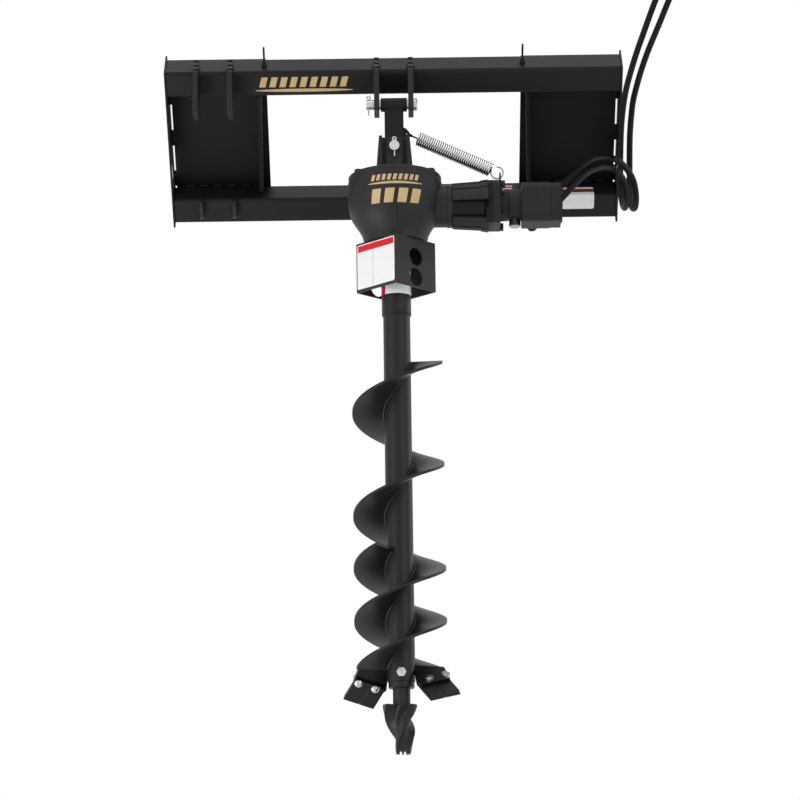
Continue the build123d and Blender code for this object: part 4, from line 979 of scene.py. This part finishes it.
guard_film = vinyl("guard_panel_film", guard_print)
sleeve_film = vinyl("hub_sleeve_film", sleeve_print)
beam_film = vinyl("beam_panel_film", banded_print(BEAM_BAND, 0.80, 0.88, (0.22, 0.03, 0.012)))
tag_film = vinyl("small_tag_film", banded_print(TAG_BAND, 0.66, 0.76, (0.62, 0.02, 0.02)))
gold_film = vinyl("gold_stripe_film", gold)

# %% Flat panels
TAG_PLACE = leant(0.295, -0.0385, LOWER_BEAM_TOP)
TAG_WIDTH, TAG_DEPTH, TAG_CORNER = 0.026, 0.017, 0.003
SLEEVE_RADIUS = 0.03675
SLEEVE_HEIGHT = 0.0770
SLEEVE_DROP = 0.3810


def rounded_rectangle(width, height, corner):
    """Four quarter circles about (±(w/2 − r), ±(h/2 − r))."""
    quarter = np.linspace(0, math.pi / 2, 6)
    corners = []
    for index, (right, up) in enumerate(((1, 1), (-1, 1), (-1, -1), (1, -1))):
        angle = quarter + index * math.pi / 2
        centre = np.array([right * (width / 2 - corner), up * (height / 2 - corner)])
        corners.append(centre + corner * np.stack([np.cos(angle), np.sin(angle)], -1))
    return np.concatenate(corners)


def flat_panel(name, centre, right, up, outline, body, finish):
    out = unit(np.cross(right, up))
    rim = centre + outline[:, :1] * right + outline[:, 1:] * up
    grid = np.stack([rim, rim + PANEL_THICK * out])
    return mesh_piece(name, [grid], body, smooth=False, finish=finish)


flat_panel("guard_panel", panel_centre, panel_right, UP,
           rounded_rectangle(PANEL_WIDTH, PANEL_HEIGHT, PANEL_CORNER), "gearbox", guard_film)
flat_panel("small_tag", TAG_PLACE, RIGHT, FRAME_BACK,
           rounded_rectangle(TAG_WIDTH, TAG_DEPTH, TAG_CORNER), "frame", tag_film)
sleeve_wall = (SLEEVE_RADIUS, SLEEVE_RADIUS + PANEL_THICK)
sleeve_section = [(sleeve_wall[0], 0.0), (sleeve_wall[1], 0.0),
                  (sleeve_wall[1], SLEEVE_HEIGHT), (sleeve_wall[0], SLEEVE_HEIGHT)]
mesh_piece("hub_sleeve", [turned(sleeve_section, hung(0, 0, SLEEVE_DROP), UP, 96)], "auger",
           loop=True, finish=sleeve_film)

# %% [markdown]
# The lower beam's panel is bent over the beam's rounded upper corner. Its section follows the top
# face, a quarter circle of the corner's radius and then the front face. Towards both ends of the
# section its sides draw in by r − √(r² − d²), d being the way past the panel corner's centre.

# %% Bent panel
BENT_CORNER = 0.0055
BENT_ENDS = (0.4375, 0.5210)
BENT_REACH_BACK, BENT_REACH_DOWN = 0.0285, 0.0420


def beam_section_line(lift):
    """Pairs (back, down) over the lower beam's front upper corner, `lift` off its surface."""
    angle = np.linspace(0, math.pi / 2, 9)
    back, down = BEAM_FRONT + BEAM_CORNER, LOWER_BEAM_TOP + BEAM_CORNER
    radius = BEAM_CORNER + lift
    bend = np.stack([back - radius * np.sin(angle), down - radius * np.cos(angle)], -1)
    first = (back + BENT_REACH_BACK, LOWER_BEAM_TOP - lift)
    last = (BEAM_FRONT - lift, LOWER_BEAM_TOP + BENT_REACH_DOWN)
    return np.concatenate([[first], bend, [last]])


outer, even = evenly(beam_section_line(PANEL_THICK), 72)
inner, _ = evenly(beam_section_line(0.0), 72)
past = BENT_CORNER - np.minimum(np.minimum(even, even[-1] - even), BENT_CORNER)
inset = BENT_CORNER - np.sqrt(BENT_CORNER ** 2 - past ** 2)
inset = np.concatenate([inset, inset[::-1]])
bent_section = np.concatenate([outer, inner[::-1]])
bent_x = np.stack([BENT_ENDS[0] + inset, BENT_ENDS[1] - inset])
bent = leant(bent_x, bent_section[None, :, 0], bent_section[None, :, 1])
mesh_piece("beam_panel", [bent], "frame", smooth=False, finish=beam_film)

# %% [markdown]
# ## Gold stripes
# Slanted bars stand over a tapered underline. On the beam they lie flat. On the bowl each point is
# carried in along its own radius until it meets the casting, so the stripe follows the curve.

# %% Gold stripes
STRIPE_THICK = 0.0003
BOWL_RADIUS = 0.1185
RAY_START = 0.2
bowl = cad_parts["gearbox_housing"]


def slanted_bars(left, right, low, high, count, fill, slant):
    """Parallelograms whose edges lie at x + slant·share of height, as (x, height) corners."""
    step = (right - left) / count
    bars = []
    for index in range(count):
        x0 = left + step * index
        x1 = x0 + step * fill
        bars.append(np.array([(x0, low), (x1, low), (x1 + slant, high), (x0 + slant, high)]))
    return bars


def strip(x, heights, lay):
    """A closed ring for each x, over the top side and back under it. `lay` puts points in place."""
    upper, lower = lay(x, heights, STRIPE_THICK), lay(x, heights, -STRIPE_THICK)
    return np.concatenate([upper[:, ::-1], lower], 1)


def underline(left, right, middle, thick, lay):
    """A long lens, full in the middle and pointed at both ends: half height = t/2·√(sin πs)."""
    share = np.linspace(0, 1, 25)
    half = thick / 2 * np.sqrt(np.sin(math.pi * np.clip(share, 0.02, 0.98)))
    low, high = middle - half, middle + half
    heights = low[:, None] + (high - low)[:, None] * np.linspace(0, 1, 5)
    x = left + (right - left) * share
    return strip(np.broadcast_to(x[:, None], heights.shape), heights, lay)


def bar_strip(bar, lay):
    """A slanted bar as a strip whose rows run from its left edge to its right edge."""
    share = np.linspace(0, 1, 9)[:, None]
    bottom = bar[0] + (bar[1] - bar[0]) * share
    top = bar[3] + (bar[2] - bar[3]) * share
    points = bottom[:, None] + (top - bottom)[:, None] * np.linspace(0, 1, 5)[None, :, None]
    return strip(points[..., 0], points[..., 1], lay)


def on_beam(x, height, lift):
    """(x, height) on the top beam's front face, the height measured up from the beam's foot."""
    return leant(x, BEAM_FRONT - lift, BEAM - height)


def on_bowl(x, height, lift):
    """(arc length, height over the swing pin) on the bowl: angle = arc / R, and a ray inwards
    finds the surface."""
    angle = x / BOWL_RADIUS
    out = np.stack([np.sin(angle), -np.cos(angle), np.zeros_like(angle)], -1)
    start = hung(RAY_START * out[..., 0], RAY_START * out[..., 1], -height)
    points = start - (RAY_START - BOWL_RADIUS) * out
    for place in np.ndindex(angle.shape):
        hit, where_hit, _, _ = bowl.ray_cast(Vector(start[place]), Vector(-out[place]))
        if hit:
            points[place] = np.array(where_hit) + lift * out[place]
    return points


beam_bars = slanted_bars(left=-0.343, right=-0.112, low=0.028, high=0.057,
                         count=9, fill=0.62, slant=0.007)
beam_strips = [bar_strip(bar, on_beam) for bar in beam_bars]
beam_strips.append(underline(left=-0.352, right=-0.104, middle=0.0185, thick=0.009, lay=on_beam))
mesh_piece("beam_gold_stripes", beam_strips, "frame", smooth=False, finish=gold_film)

bowl_bars = slanted_bars(left=-0.062, right=0.064, low=-0.1115, high=-0.0965,
                         count=9, fill=0.62, slant=0.004)
bowl_bars += slanted_bars(left=-0.064, right=0.074, low=-0.1690, high=-0.1330,
                          count=4, fill=0.68, slant=0.006)
bowl_strips = [bar_strip(bar, on_bowl) for bar in bowl_bars]
bowl_strips.append(underline(left=-0.070, right=0.072, middle=-0.1185, thick=0.0062, lay=on_bowl))
mesh_piece("bowl_gold_stripes", bowl_strips, "gearbox", smooth=False, finish=gold_film)

# %% [markdown]
# ## The studio
# The floor and the distant backdrop are plain. They look white to the camera and in reflections,
# but light the object only as grey card would, so that the frame's undersides stay dark.

# %% Floor and backdrop
FLOOR_HEIGHT = -3.0
CARD_TONE = 0.5


def card(name):
    finish = Finish(name).set(base_color=rgb(CARD_TONE), roughness=0.9)
    glow = finish.node("ShaderNodeEmission", {}, {"Color": rgb(1.0), "Strength": 1.0})
    matt = Wire(finish, finish.shader.outputs[0])
    mixed = finish.node("ShaderNodeMixShader", {}, {0: finish.seen(), 1: matt, 2: glow})
    finish.feed(finish.output.inputs["Surface"], mixed)
    return finish.material


def sheet(name, corner, first, second, finish):
    """A flat stage piece: corner + s·first + t·second, for s and t from 0 to 1."""
    share = np.linspace(0, 1, 9)
    s, t = share[:, None, None], share[None, :, None]
    grid = np.array(corner) + s * np.array(first) + t * np.array(second)
    piece = mesh_piece(name, [grid], ring=False, finish=finish)


grey_card = card("studio_card")
sheet("studio_floor", (-14.0, -9.0, FLOOR_HEIGHT), (0, 21.0, 0), (28.0, 0, 0), grey_card)
sheet("studio_backdrop", (-36.0, 12.0, FLOOR_HEIGHT), (0, 0, 40.0), (72.0, 0, 0), grey_card)

# %% Lamps


def softbox(name, place, target, size, brightness):
    """A rectangular lamp of power brightness·π·area, so that every size looks as bright."""
    lamp = bpy.data.lights.new(name, "AREA")
    lamp.shape = "RECTANGLE"
    lamp.size, lamp.size_y = size
    lamp.energy = brightness * math.pi * size[0] * size[1]
    holder = bpy.data.objects.new(name, lamp)
    bpy.context.scene.collection.objects.link(holder)
    aim = (Vector(target) - Vector(place)).to_track_quat("-Z", "Y").to_matrix().to_4x4()
    holder.matrix_world = Matrix.Translation(place) @ aim


softbox("key_overhead", (0.0, -0.4, 3.4), (0.0, -0.1, -0.1), (4.2, 2.8), 1.05)
softbox("left_front", (-3.0, -2.9, -0.3), (0.0, -0.2, -0.6), (1.0, 3.2), 1.9)
softbox("low_left", (-1.7, -0.9, -2.2), (0.0, -0.25, -0.3), (1.2, 1.2), 6.0)
softbox("right_front", (3.0, -3.6, -0.6), (0.0, -0.2, -0.6), (1.4, 3.0), 2.0)
softbox("right_rim", (3.2, 0.9, 0.2), (0.0, -0.2, -0.8), (1.0, 2.8), 2.0)

# %% [markdown]
# The world is a dome that lights most from the horizon, less from above and least from below, where
# the floor is. The camera and reflections see it plain white, like the backdrop.

# %% World
DOME_STOPS = ((0.0, 0.52), (0.5, 0.98), (1.0, 0.76))
world = bpy.data.worlds.new("studio_world")
world.use_nodes = True
sky = Nodes(world.node_tree)
direction = sky.node("ShaderNodeTexCoord", out="Generated")
height = sky.node("ShaderNodeSeparateXYZ", {}, {0: direction}, "Z")
share = sky.node("ShaderNodeMapRange", {}, {"Value": height, "From Min": -1.0})
dome = sky.ramp(share, *DOME_STOPS)
sky.feed(sky.tree.nodes["Background"].inputs["Color"], sky.mix(sky.seen(), dome, rgb(1.0)))
bpy.context.scene.world = world
bpy.context.scene.view_settings.view_transform = "Standard"
